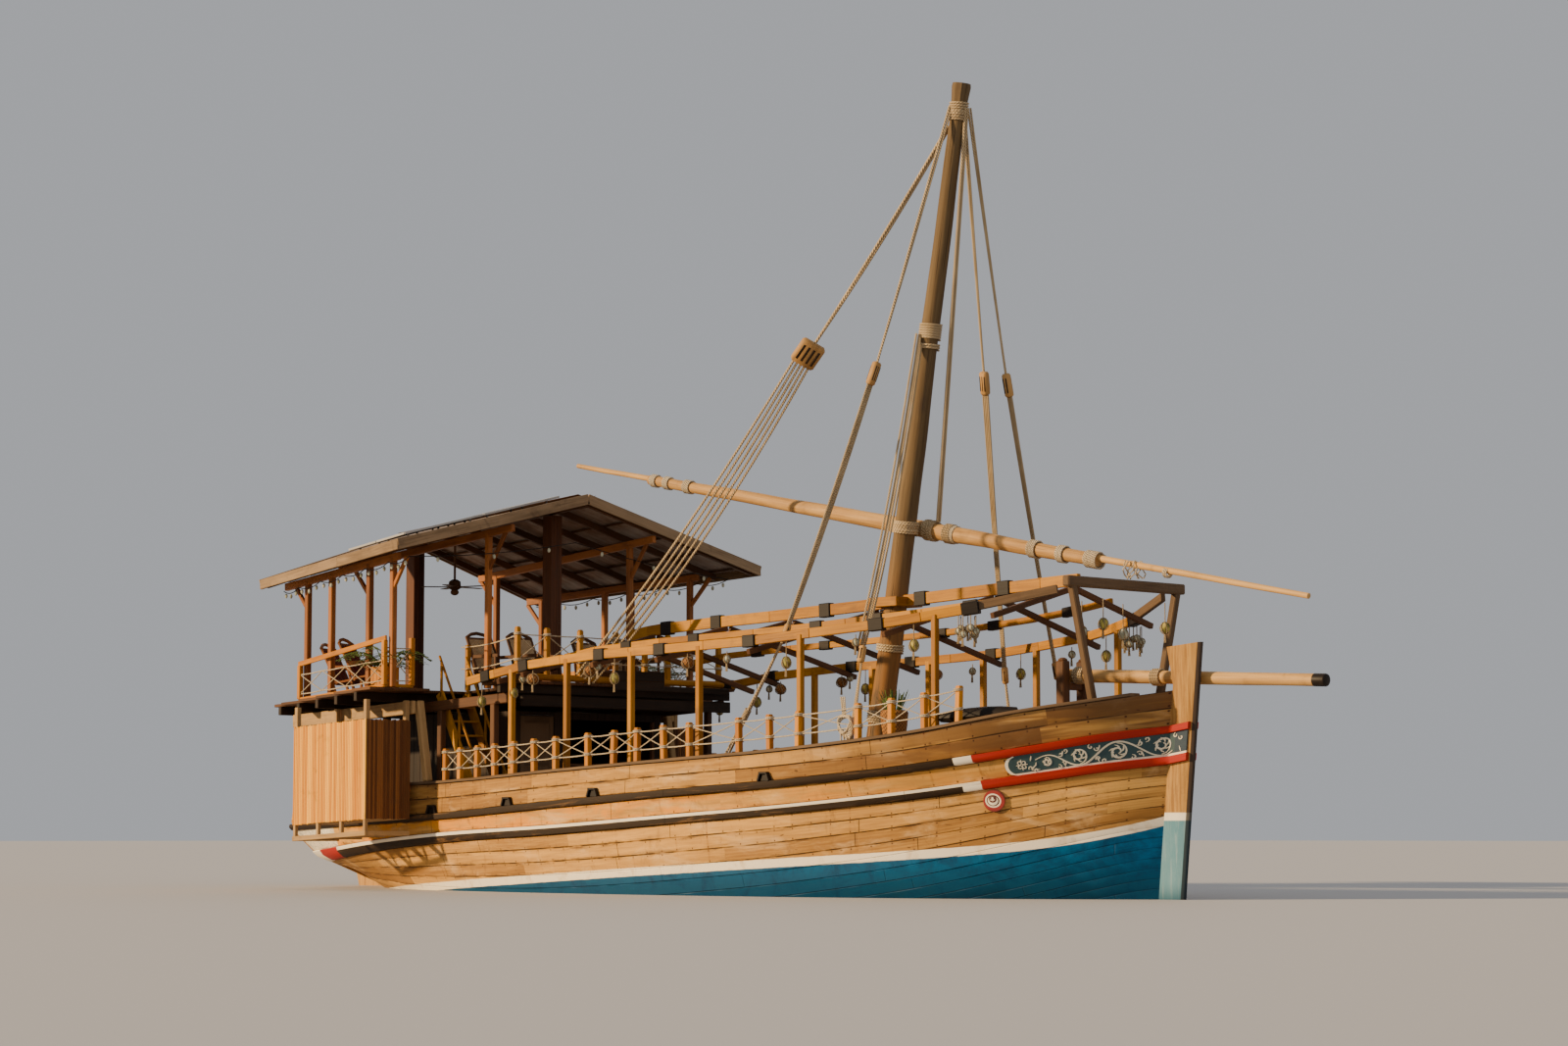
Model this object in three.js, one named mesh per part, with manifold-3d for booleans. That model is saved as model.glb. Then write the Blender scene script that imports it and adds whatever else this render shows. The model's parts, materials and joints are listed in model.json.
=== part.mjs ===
// A wooden dhow afloat, with an awning frame over its main deck and a roofed deck aft.
// Millimetres, +X towards the bow, +Y to port, +Z up.
// The origin is on the centreline, on the waterline, halfway along it.

import * as THREE from 'three';
import { mergeVertices } from 'three/addons/utils/BufferGeometryUtils.js';
import Module from 'manifold-3d';

const wasm = await Module();
wasm.setup();

// Driving dimensions

const GAP = 0.4;                  // between pieces that touch
const BOW_X = 10300;              // front of the stem on the waterline
const aft = (distance) => BOW_X - distance;   // distances are taken from the stem, going aft

const KEEL_AFT = { x: aft(18600), z: -1750 };
const KEEL_FORE = { x: aft(2500), z: -1100 };
const KEEL_DEPTH = 220;
const KEEL_HALF = 120;
const STERN_RAKE = 0.475;
const STERN_KNUCKLE = 950;        // above it the transom stands upright
const STEM_DEPTH = 420;
const STEM_RAKE = 0.098;
const STEM_TOP = 3940;
const STEM_NOSE = 50;              // half the stem's width at its front edge
const STEM_NECK = 3300;            // above this the stem widens aft
const BULWARK = 140;
const DECK_DROP = 550;            // main deck below the top of the bulwark
const WALE_HALF = 105;
const WALE_OUT = 70;
const WALE_RISE = 0.17;           // slope of the wales across the stem

// Hull offsets at stations from the sternpost (t 0) to the stem (t 1).
// b20 to b75 are half-breadths at those parts of the depth from the keel up to the water,
// bWater to bTop at the waterline, lower wale, upper wale and bulwark top; z heights follow.
const OFFSETS = [
  ['t', 'b20', 'b45', 'b75', 'bWater', 'bLow', 'bHigh', 'bTop', 'zLow', 'zHigh', 'zTop'],
  [0.000, 120, 125, 135, 350, 1750, 2300, 2200, 580, 1130, 1830],
  [0.060, 180, 350, 700, 1300, 2300, 2550, 2560, 640, 1170, 1840],
  [0.150, 450, 1000, 1700, 2150, 2700, 2820, 2850, 780, 1225, 1860],
  [0.280, 1050, 2000, 2600, 2800, 3050, 3100, 3100, 940, 1320, 1900],
  [0.450, 1450, 2550, 2980, 3100, 3250, 3300, 3300, 1080, 1508, 2054],
  [0.600, 1350, 2450, 2900, 3050, 3220, 3280, 3300, 1246, 1677, 2194],
  [0.740, 950, 1850, 2400, 2650, 2920, 3050, 3120, 1426, 1834, 2343],
  [0.850, 500, 1050, 1600, 1950, 2300, 2500, 2650, 1640, 2040, 2570],
  [0.930, 250, 500, 800, 1100, 1450, 1650, 1850, 1881, 2301, 2879],
  [0.975, 150, 220, 350, 500, 720, 850, 1000, 2041, 2492, 3059],
  [1.000, 120, 120, 120, 120, 120, 120, 120, 2128, 2604, 3205],
];

const MAST_FOOT = { x: aft(6690), r: 265 };
const MAST_HEAD = { x: aft(4560), z: 13450, r: 140 };
const YARD_FORE = { x: aft(-2130), z: 4540, r: 75 };
const YARD_AFT = { x: aft(14720), z: 7840, r: 55 };
const YARD_SIDE = 390;            // yard centre to port of the mast's centre
const YARD_RADIUS = 150;
const CROSSING_Z = 6100;          // where the yard crosses the mast
const BOWSPRIT = { xIn: aft(2600), xOut: aft(-2560), y: 236, zIn: 3529, zOut: 3290, r: 100 };
const BITTS = { d: 2430, apart: 245, size: 170, over: 230 };

const RAIL_POST = { size: 95, height: 600 };
const RAIL_POSTS_AT = [
  14290, 13840, 13310, 12790, 12240, 11650, 11060, 10200, 9550, 8960, 8310, 7710, 6580, 5920, 5340, 4190, 3600, 3060, 2530,
];
const AWNING_BEAM = { wide: 90, high: 150 };
const RAFTER_SIZE = 90;
const RAFTER_END = 130;           // past the eave beam
const PURLIN_PART = 0.52;         // of the way from the ridge down to the eave
// Awning frame at its rafters: distance aft of the stem, ridge height, eave height.
const AWNING = [
  ['d', 'ridge', 'eave'],
  [12800, 4600, 3840],
  [12100, 4690, 3930],
  [10200, 4760, 4030],
  [8600, 4800, 4060],
  [6500, 4880, 4120],
  [3900, 4990, 4310],
  [2200, 5050, 4560],
];
const AWNING_POSTS = {
  starboard: [12560, 11010, 9350, 7730, 5550, 3150],
  port: [11100, 9640, 8200, 6830, 5460, 3160],
};
const AWNING_INSET = 130;         // eave line inside the edge of the main deck
const MAST_COLLAR = { z: 4860, hole: 265, wide: 55, high: 160 };
const BOW_FRAME = { d: 1140, half: 1270, z: 4890, footHalf: 640 };

const TRIM = 0.047;               // the deckhouse works lie lower towards the stern
const TRIM_X = aft(15000);
const UPPER_DECK = { fore: 13000, wing: 15050, aft: 19100, z: 3620, thick: 60, beam: 160 };
const DECK_HALF = 2800;
const WING_HALF = 4250;
const STERN_HALF = 3350;
const ROOF = { fore: 14000, aft: 19400, halfFore: 4375, halfAft: 3400 };
const ROOF_THICK = 45;
const ROOF_INNER = { y: 1720, ends: [0.01, 0.97], starboard: [0.139, 0.796], port: [0.139, 0.87] };
const ROOF_OUTER = {
  part: 0.865,
  ends: [0.17, 0.97],
  starboard: [0.207, 0.367, 0.633, 0.806],
  port: [0.207, 0.476, 0.6, 0.9],
};
const COLUMNS = { fore: [14990, 0], aft: [18950, -120] };
const RAFTER = { high: 120, wide: 70, parts: [0.02, 0.18, 0.34, 0.5, 0.66, 0.82, 0.98] };
const ROOF_Z = { apexFore: 7240, eaveFore: 6150, apexAft: 6860, eaveAft: 5770 };
const STAIRWELL = { fore: 13600, aft: 15350, inner: 1780 };
const FORE_RAIL = { d: 13070, ys: [-2420, -1740, -960, -110, 600, 1170, 2450], high: 950, size: 90, sill: 130 };
const WING_RAIL = {
  aft: { d: 18400, y: 3235, high: 700 },
  fore: { d: 15220, y: 3715, high: 880 },
  inner: { d: 15220, y: 3100, high: 860 },
};
const SIGN = { d: 12930, y: [-250, 950], z: [3600, 3950] };
const FASCIA = { thick: 36, high: 190 };
const STAIR = { top: 15240, foot: 14100, y: -2130, half: 305, rail: 640, size: 45, treads: 8 };
const CLOSET = { fore: 15100, aft: 17270, inner: 3200, outer: 4200, floor: 1310, top: 3040, sill: 980 };
const CABIN = { fore: 13900, aft: 17300, half: 1760, wall: 60 };
const CABIN_DOOR = { y: -1650, width: 800, high: 1750 };

// Solids by manifold booleans

function toSolid(geometry) {
  const bare = geometry.clone();
  bare.deleteAttribute('normal');
  bare.deleteAttribute('uv');
  const merged = mergeVertices(bare, 1e-3);
  const mesh = new wasm.Mesh({
    numProp: 3,
    vertProperties: new Float32Array(merged.attributes.position.array),
    triVerts: new Uint32Array(merged.index.array),
  });
  return new wasm.Manifold(mesh);
}

function toGeometry(solid) {
  const mesh = solid.getMesh();
  const geometry = new THREE.BufferGeometry();
  geometry.setAttribute('position', new THREE.BufferAttribute(mesh.vertProperties, 3));
  geometry.setIndex(new THREE.BufferAttribute(mesh.triVerts, 1));
  geometry.computeVertexNormals();
  return geometry;
}

const join = (pieces) => toGeometry(pieces.map(toSolid).reduce((sum, next) => sum.add(next)));

function cut(body, tools) {
  return toGeometry(tools.map(toSolid).reduce((rest, tool) => rest.subtract(tool), toSolid(body)));
}

// Plain shapes

function block(x0, x1, y0, y1, z0, z1) {
  const geometry = new THREE.BoxGeometry(x1 - x0, y1 - y0, z1 - z0);
  return geometry.translate((x0 + x1) / 2, (y0 + y1) / 2, (z0 + z1) / 2);
}

function along(geometry, from, to) {
  const span = new THREE.Vector3().subVectors(to, from);
  const side = new THREE.Vector3(0, 0, 1).cross(span).normalize();
  if (side.lengthSq() < 0.5) side.set(0, 1, 0);
  const up = new THREE.Vector3().crossVectors(span, side).normalize();
  const matrix = new THREE.Matrix4().makeBasis(span.clone().normalize(), side, up);
  matrix.setPosition(from.clone().add(to).multiplyScalar(0.5));
  return geometry.applyMatrix4(matrix);
}

const point = (x, y, z) => new THREE.Vector3(x, y, z);

function timber(from, to, wide, high, extra = 0) {
  const length = from.distanceTo(to) + 2 * extra;
  return along(new THREE.BoxGeometry(length, wide, high), from, to);
}

function rod(from, to, r0, r1 = r0, sides = 12) {
  const length = from.distanceTo(to);
  const geometry = new THREE.CylinderGeometry(r1, r0, length, sides).rotateZ(-Math.PI / 2);
  return along(geometry, from, to);
}

const post = (x, y, z0, z1, size) =>
  block(x - size / 2, x + size / 2, y - size / 2, y + size / 2, z0, z1);

function sidePlate(outline, half) {
  const shape = new THREE.Shape(outline.map(([x, z]) => new THREE.Vector2(x, z)));
  const geometry = new THREE.ExtrudeGeometry(shape, { depth: 2 * half, bevelEnabled: false });
  return geometry.rotateX(Math.PI / 2).translate(0, half, 0);
}

function floorPlate(outline, z0, z1) {
  const shape = new THREE.Shape(outline.map(([x, y]) => new THREE.Vector2(x, y)));
  const geometry = new THREE.ExtrudeGeometry(shape, { depth: z1 - z0, bevelEnabled: false });
  return geometry.translate(0, 0, z0);
}

// A closed body through rings of points that run aft to fore, each ring with as many points.
function loft(rings) {
  const size = rings[0].length;
  const vertices = rings.flat();
  const triangles = [];
  for (let i = 0; i + 1 < rings.length; i += 1) {
    for (let j = 0; j < size; j += 1) {
      const a = i * size + j;
      const b = i * size + ((j + 1) % size);
      const [c, d] = [a + size, b + size];
      const shorter = vertices[a].distanceTo(vertices[d]) < vertices[b].distanceTo(vertices[c]) - 1e-3;
      triangles.push(...(shorter ? [[a, b, d], [a, d, c]] : [[a, b, c], [b, d, c]]));
    }
  }
  const capOf = (ring) => {
    const flat = ring.map((p) => new THREE.Vector2(p.y, p.z));
    const faces = THREE.ShapeUtils.triangulateShape(flat, []);
    const sameTurn = (face) =>
      THREE.ShapeUtils.area(face.map((i) => flat[i])) * THREE.ShapeUtils.area(flat) > 0;
    return faces.map((face) => (sameTurn(face) ? face : [...face].reverse()));
  };
  const last = (rings.length - 1) * size;
  capOf(rings[0]).forEach(([a, b, c]) => triangles.push([a, c, b]));
  capOf(rings[rings.length - 1]).forEach(([a, b, c]) => triangles.push([last + a, last + b, last + c]));
  const volume = triangles.reduce((sum, [a, b, c]) =>
    sum + vertices[a].dot(new THREE.Vector3().crossVectors(vertices[b], vertices[c])), 0);
  const outward = volume > 0 ? triangles : triangles.map(([a, b, c]) => [a, c, b]);
  const geometry = new THREE.BufferGeometry().setFromPoints(vertices);
  geometry.setIndex(outward.flat());
  return geometry;
}

function mirrored(geometry) {
  const copy = geometry.clone().scale(1, -1, 1);
  const index = copy.index ? [...copy.index.array] : [...Array(copy.attributes.position.count).keys()];
  for (let i = 0; i < index.length; i += 3) [index[i], index[i + 1]] = [index[i + 1], index[i]];
  copy.setIndex(index);
  return copy;
}

function lean(geometry, slope = TRIM, x0 = TRIM_X) {
  const position = geometry.attributes.position;
  for (let i = 0; i < position.count; i += 1) {
    position.setZ(i, position.getZ(i) + slope * (position.getX(i) - x0));
  }
  return geometry;
}

// Hull form

const [columns, ...rows] = OFFSETS;

// A smooth curve through the points (xs, ys), at x.
function fairAt(xs, ys, x) {
  const last = xs.length - 2;
  const above = xs.findIndex((v) => v > x);
  const i = Math.max(0, Math.min(last, (above < 0 ? xs.length : above) - 1));
  const slope = (k) => (ys[k + 1] - ys[k]) / (xs[k + 1] - xs[k]);
  const tangent = (k) => {
    if (k === 0 || k === xs.length - 1) return slope(Math.min(k, last));
    const [before, after] = [xs[k] - xs[k - 1], xs[k + 1] - xs[k]];
    return (slope(k - 1) * after + slope(k) * before) / (before + after);
  };
  const width = xs[i + 1] - xs[i];
  const u = (x - xs[i]) / width;
  const [a, b] = [tangent(i) * width, tangent(i + 1) * width];
  const rise = ys[i + 1] - ys[i];
  return ys[i] + u * a + u * u * (3 * rise - 2 * a - b) + u * u * u * (a + b - 2 * rise);
}

const FAIR_PARTS = 3;             // stations made for each line of the table
const tableTs = rows.map(([t]) => t);
const stationTs = tableTs.slice(0, -1).flatMap((t, i) =>
  Array.from({ length: FAIR_PARTS }, (_, k) => THREE.MathUtils.lerp(t, tableTs[i + 1], k / FAIR_PARTS)));
const fairRow = (t) => columns.map((_, i) => fairAt(tableTs, rows.map((row) => row[i]), t));
const stations = [...stationTs.map(fairRow), rows.at(-1)].map((row) =>
  Object.fromEntries(columns.map((name, i) => [name, row[i]])));

const postLine = (z) => KEEL_AFT.x - STERN_RAKE * (z - KEEL_AFT.z);
const sternLine = (z) => postLine(Math.min(z, STERN_KNUCKLE));

function stemLine(z) {
  const base = BOW_X - STEM_DEPTH;
  if (z >= 0) return base + STEM_RAKE * z;
  const part = Math.min(1, z / KEEL_FORE.z);
  return KEEL_FORE.x + (base - KEEL_FORE.x) * Math.sqrt(1 - part * part);
}

const hullPoint = (t, y, z) => point(THREE.MathUtils.lerp(sternLine(z), stemLine(z), t), y, z);

function interpolate(x, xs, ys) {
  const above = xs.findIndex((v) => v > x);
  const i = above < 0 ? xs.length - 2 : Math.max(0, above - 1);
  return ys[i] + ((ys[i + 1] - ys[i]) * (x - xs[i])) / (xs[i + 1] - xs[i]);
}

function sideBreadth(s, z) {
  return interpolate(z, [0, s.zLow, s.zHigh, s.zTop + 1], [s.bWater, s.bLow, s.bHigh, s.bTop]);
}

const keelHeight = (t) => THREE.MathUtils.lerp(KEEL_AFT.z, KEEL_FORE.z, t);
const sideLevels = (s) => [s.zLow - WALE_HALF, s.zLow + WALE_HALF, s.zHigh - WALE_HALF, s.zHigh + WALE_HALF];

function outerSide(s) {
  const zKeel = keelHeight(s.t);
  const keelX = THREE.MathUtils.lerp(KEEL_AFT.x, KEEL_FORE.x, s.t);
  return [
    point(keelX, KEEL_HALF, zKeel),
    hullPoint(s.t, s.b20, zKeel * 0.8),
    hullPoint(s.t, s.b45, zKeel * 0.55),
    hullPoint(s.t, s.b75, zKeel * 0.25),
    hullPoint(s.t, s.bWater, 0),
    ...sideLevels(s).map((z) => hullPoint(s.t, sideBreadth(s, z), z)),
    hullPoint(s.t, s.bTop, s.zTop),
  ];
}

function innerSide(s) {
  const zDeck = s.zTop - DECK_DROP;
  const deckHalf = Math.max(20, Math.min(s.bTop, sideBreadth(s, zDeck)) - BULWARK);
  return [
    hullPoint(s.t, Math.max(20, s.bTop - BULWARK), s.zTop),
    hullPoint(s.t, deckHalf, zDeck),
  ];
}

const otherSide = (points) => points.map((p) => point(p.x, -p.y, p.z)).reverse();

const hullRing = (s) => {
  const half = [...outerSide(s), ...innerSide(s)];
  return [...half, ...otherSide(half)];
};

// Height and half-breadth of a lengthwise hull line, at x.
function lineAt(pick, x) {
  const line = stations.map(pick);
  const xs = line.map((p) => p.x);
  return {
    y: interpolate(x, xs, line.map((p) => p.y)),
    z: interpolate(x, xs, line.map((p) => p.z)),
  };
}

const topAt = (x) => lineAt((s) => outerSide(s).at(-1), x);
const deckAt = (x) => lineAt((s) => innerSide(s)[1], x);

const colours = {
  planks: [0xb98a55, 0.75], dark: [0x2e2019, 0.8], orange: [0xa5652e, 0.6], brown: [0x6b4223, 0.75],
  pale: [0xc0a070, 0.7], blue: [0x2b86a8, 0.6], red: [0xa62a22, 0.6], spar: [0x9d7d52, 0.8],
  rope: [0xb9a88a, 0.9], reed: [0xd19a4e, 0.8], roof: [0x6f5a45, 0.7], panel: [0x20242c, 0.3],
  grey: [0x6a6560, 0.8],
};

const boat = new THREE.Group();

function add(name, geometry, colour, group = boat) {
  const [color, roughness] = colours[colour];
  const mesh = new THREE.Mesh(geometry, new THREE.MeshStandardMaterial({ color, roughness }));
  mesh.name = name;
  group.add(mesh);
}

function addBothSides(name, starboard, colour) {
  add(`${name}_starboard`, starboard, colour);
  add(`${name}_port`, mirrored(starboard), colour);
}

// Hull, backbone and wales

function hull() {
  return loft(stations.map(hullRing));
}

function transom() {
  const half = outerSide(stations[0]).map((p) => point(p.x, Math.max(100, p.y - 15), p.z));
  const ring = [...half, ...otherSide(half)];
  return loft([60, GAP].map((back) => ring.map((p) => point(p.x - back, p.y, p.z))));
}

function keel() {
  const slope = (KEEL_FORE.z - KEEL_AFT.z) / (KEEL_FORE.x - KEEL_AFT.x);
  const top = (x) => KEEL_AFT.z + slope * (x - KEEL_AFT.x) - GAP;
  const heel = (z) => [postLine(z) - POST.gap + GAP, z];
  const fore = KEEL_FORE.x - GAP;
  return sidePlate([
    heel(top(KEEL_AFT.x - POST.gap)),
    [fore, top(fore)],
    [fore, top(fore) - KEEL_DEPTH],
    heel(top(KEEL_AFT.x) - KEEL_DEPTH),
  ], KEEL_HALF);
}

function stemPost() {
  const inner = outerSide(stations.at(-1)).slice(0, 5).map((p) => [p.x + GAP, p.z]);
  const neck = [stemLine(STEM_NECK) + GAP, STEM_NECK];
  const backTop = [stemLine(STEM_TOP) - 180, STEM_TOP - 60];
  const depth = KEEL_DEPTH - KEEL_FORE.z;
  const front = [];
  for (let i = 0; i <= 8; i += 1) {
    const angle = (Math.PI / 2) * (i / 8);
    const reach = BOW_X - KEEL_FORE.x;
    front.push([KEEL_FORE.x + reach * Math.cos(angle), -depth * Math.sin(angle)]);
  }
  front.unshift([BOW_X + STEM_RAKE * STEM_TOP, STEM_TOP]);
  const plate = sidePlate([...front, ...inner, neck, backTop], KEEL_HALF);
  const position = plate.attributes.position;
  for (let i = 0; i < position.count; i += 1) {
    const away = ([x, z]) => Math.hypot(x - position.getX(i), z - position.getZ(i));
    if (front.some((p) => away(p) < 1)) {
      position.setY(i, Math.sign(position.getY(i)) * STEM_NOSE);
    }
  }
  return plate;
}

const POST = { gap: 62, depth: 260, top: 930, foot: KEEL_AFT.z - KEEL_DEPTH };

function sternPost() {
  const fore = (z) => postLine(z) - POST.gap;
  return sidePlate([
    [fore(POST.foot), POST.foot],
    [fore(POST.top), POST.top],
    [fore(POST.top) - POST.depth, POST.top],
    [fore(POST.foot) - POST.depth, POST.foot],
  ], 110);
}

// A strake proud of the planking, between two heights given at each station.
function strake(low, high, out, from = 0, noseX = 60, inner = GAP) {
  const used = stations.filter((s) => s.t >= from);
  const ringAt = (s) => {
    const [z0, z1] = [low(s), high(s)];
    return [
      hullPoint(s.t, sideBreadth(s, z0) + inner, z0),
      hullPoint(s.t, sideBreadth(s, z1) + inner, z1),
      hullPoint(s.t, sideBreadth(s, z1) + out, z1),
      hullPoint(s.t, sideBreadth(s, z0) + out, z0),
    ];
  };
  const rings = used.map(ringAt);
  const stem = used.at(-1);
  const reach = STEM_DEPTH - noseX;
  const taper = (KEEL_HALF - STEM_NOSE) * (reach / STEM_DEPTH) * (1 - STEM_RAKE * WALE_RISE);
  rings.push(ringAt(stem).map((p) => point(p.x + reach, p.y - taper, p.z + WALE_RISE * reach)));
  return mirrored(loft(rings));
}

const lowerWale = strake((s) => s.zLow - WALE_HALF, (s) => s.zLow + WALE_HALF, WALE_OUT);
const upperWale = strake((s) => s.zHigh - WALE_HALF, (s) => s.zHigh + WALE_HALF, WALE_OUT);

function bowPanel() {
  return strake((s) => s.zLow + WALE_HALF + 4, (s) => s.zHigh - WALE_HALF - 4, 32, 0.85, 90, 8);
}

function oculus() {
  const x = aft(2150);
  const side = lineAt((s) => hullPoint(s.t, sideBreadth(s, s.zLow - WALE_HALF), s.zLow - WALE_HALF), x);
  const fore = lineAt((s) => hullPoint(s.t, sideBreadth(s, s.zLow - WALE_HALF), s.zLow - WALE_HALF), x + 400);
  const yaw = Math.atan2(fore.y - side.y, 400);
  const disc = new THREE.CylinderGeometry(175, 175, 40, 24);
  return disc.rotateZ(-yaw).translate(x, -side.y - 45, side.z - 200);
}

// Rails on the bulwark

function gunwale(side) {
  const used = stations.filter((s) => s.t < 1);
  const ringAt = (s) => {
    const [inner, outer] = [s.bTop - BULWARK - 50, s.bTop + 40];
    return [[inner, GAP], [inner, 50], [outer, 50], [outer, GAP]].map(
      ([y, up]) => hullPoint(s.t, y, s.zTop).setZ(s.zTop + up));
  };
  const pieces = [loft(used.map(ringAt))];
  for (const d of RAIL_POSTS_AT) {
    const { y, z } = topAt(aft(d));
    pieces.push(post(aft(d), y - BULWARK / 2, z + 20, z + RAIL_POST.height, RAIL_POST.size));
  }
  const rail = join(pieces);
  return side < 0 ? mirrored(rail) : rail;
}

// Spars

const mastLine = (z) => {
  const foot = deckAt(MAST_FOOT.x).z + 3;
  return THREE.MathUtils.mapLinear(z, foot, MAST_HEAD.z, MAST_FOOT.x, MAST_HEAD.x);
};

function mast() {
  const foot = deckAt(MAST_FOOT.x).z + 3;
  const neck = MAST_HEAD.z - 450;
  const shaft = rod(point(mastLine(foot), 0, foot + 60), point(mastLine(neck), 0, neck), MAST_FOOT.r, MAST_HEAD.r, 20);
  const head = timber(point(mastLine(neck - 100), 0, neck - 100), point(MAST_HEAD.x, 0, MAST_HEAD.z), 270, 270);
  return join([shaft, head]);
}

function mastPartners() {
  const x = MAST_FOOT.x;
  const z = deckAt(x + 450).z + 3;
  const frame = block(x - 450, x + 450, -450, 450, z, z + 160);
  return cut(frame, [block(x - 285, x + 330, -285, 285, z - 10, z + 200)]);
}

const yardSpan = point(YARD_FORE.x - YARD_AFT.x, 0, YARD_FORE.z - YARD_AFT.z);
const yardMiddle = point(YARD_AFT.x, YARD_SIDE, YARD_AFT.z)
  .addScaledVector(yardSpan, (mastLine(CROSSING_Z) - YARD_AFT.x) / yardSpan.x);

function yard() {
  const [from, to] = [YARD_AFT, YARD_FORE].map((end) => point(end.x, YARD_SIDE, end.z));
  const half = from.distanceTo(to) / 2;
  const middle = from.distanceTo(yardMiddle) - half;
  const outline = [[0, -half], [YARD_AFT.r, -half], [YARD_RADIUS, middle], [YARD_FORE.r, half], [0, half]];
  const spar = new THREE.LatheGeometry(outline.map(([r, z]) => new THREE.Vector2(r, z)), 14);
  return along(spar.rotateZ(-Math.PI / 2), from, to);
}

// The rope collar that holds the yard against the mast.
function parrel() {
  const foot = deckAt(MAST_FOOT.x).z;
  const part = (CROSSING_Z - foot) / (MAST_HEAD.z - foot);
  const inner = THREE.MathUtils.lerp(MAST_FOOT.r, MAST_HEAD.r, part) + 14;
  const outer = inner + 70;
  const section = [[inner, -90], [outer, -60], [outer, 60], [inner, 90], [inner, -90]];
  const ring = new THREE.LatheGeometry(section.map(([r, z]) => new THREE.Vector2(r, z)), 24);
  const axis = point(MAST_HEAD.x - MAST_FOOT.x, 0, MAST_HEAD.z - foot).normalize();
  ring.applyQuaternion(new THREE.Quaternion().setFromUnitVectors(point(0, 1, 0), axis));
  ring.translate(mastLine(CROSSING_Z), 0, CROSSING_Z);
  const near = yardSpan.clone().setLength(900);
  const groove = rod(yardMiddle.clone().sub(near), yardMiddle.clone().add(near), YARD_RADIUS + 2, YARD_RADIUS + 2, 14);
  return cut(ring, [groove]);
}

function bowsprit() {
  const { xIn, xOut, y, zIn, zOut, r } = BOWSPRIT;
  return rod(point(xIn, y, zIn), point(xOut, y, zOut), r * 1.1, r, 14);
}

function bowFrame() {
  const x = aft(BOW_FRAME.d);
  const { half, footHalf, z } = BOW_FRAME;
  const pieces = [timber(point(x, -half - 150, z), point(x, half + 150, z), 150, 170)];
  for (const side of [-1, 1]) {
    pieces.push(timber(point(x, side * footHalf, deckAt(x).z + 25), point(x, side * half, z), 110, 110));
  }
  return join(pieces);
}

// Awning frame over the main deck

const [, ...awning] = AWNING;
const eaveHalf = (x) => deckAt(x).y - AWNING_INSET;
const eaveHeight = (x) => interpolate(x, awning.map(([d]) => aft(d)), awning.map((row) => row[2]));

function polyBeam(points, wide, high) {
  const rings = points.map((p) => [
    [-wide / 2, -high / 2], [wide / 2, -high / 2], [wide / 2, high / 2], [-wide / 2, high / 2],
  ].map(([dy, dz]) => point(p.x, p.y + dy, p.z + dz)));
  return loft(rings);
}

function awningSide(side, posts) {
  const ends = [13900, ...awning.map(([d]) => d), 1400];
  const line = ends.map((d) => {
    const x = aft(d);
    return point(x, side * eaveHalf(x), eaveHeight(x));
  });
  const pieces = [polyBeam(line, AWNING_BEAM.wide, AWNING_BEAM.high)];
  for (const d of posts) {
    const x = aft(d);
    pieces.push(post(x, side * eaveHalf(x), deckAt(x + 50).z + 4, eaveHeight(x), 100));
  }
  return join(pieces);
}

const RIDGE_HIGH = 200;
const ridgeLine = [...awning.map(([d, z]) => point(aft(d), 0, z - 25)), point(aft(2080), 0, 5030)];

// The ridge beam, with a square collar round the mast.
function awningRidge() {
  const { z, hole, wide, high } = MAST_COLLAR;
  const x = mastLine(z);
  const half = hole + wide;
  const collar = block(x - half, x + half, -half, half, z - high / 2, z + high / 2);
  const beam = polyBeam(ridgeLine, AWNING_BEAM.wide, RIDGE_HIGH);
  return cut(join([beam, collar]), [block(x - hole, x + hole, -hole, hole, z - high, z + high)]);
}

// One side's rafters, housed under the ridge and joined by a purlin.
function awningRafters(side) {
  const under = AWNING_BEAM.high / 2 + RAFTER_SIZE / 2 + 30;
  const purlin = awning.map(([d, zr, ze]) =>
    point(aft(d), side * PURLIN_PART * eaveHalf(aft(d)), zr + (ze - zr) * PURLIN_PART - 65));
  const pieces = [polyBeam(purlin, 70, 110)];
  for (const [d, zr, ze] of awning) {
    const rise = (zr - ze) / eaveHalf(aft(d));
    const end = eaveHalf(aft(d)) + RAFTER_END;
    const eave = point(aft(d), side * end, ze - RAFTER_END * rise - under);
    pieces.push(timber(eave, point(aft(d), 0, zr - under), RAFTER_SIZE, RAFTER_SIZE, 20));
  }
  const [near, far] = [-side * 500, side * (GAP / 2)].sort((m, n) => m - n);
  return cut(join(pieces), [
    polyBeam(ridgeLine, AWNING_BEAM.wide + 2 * GAP, RIDGE_HIGH + 2 * GAP),
    block(aft(14000), aft(1000), near, far, 4000, 5500),
  ]);
}

// Stays

const STAY = { r: 22, headZ: 13050, headOut: 210, footIn: 260, footUp: 90 };
const stayHead = (side, fore) => point(mastLine(STAY.headZ) + fore, side * STAY.headOut, STAY.headZ);

// A shroud from the masthead to the edge of the main deck.
function shroud(side, d, fore) {
  const { y, z } = deckAt(aft(d));
  return rod(stayHead(side, fore), point(aft(d), side * (y - STAY.footIn), z + STAY.footUp), STAY.r, STAY.r, 8);
}

const BACKSTAY = { foot: point(aft(12950), -900, 3760), block: 0.4, wide: 190, long: 420 };

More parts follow.
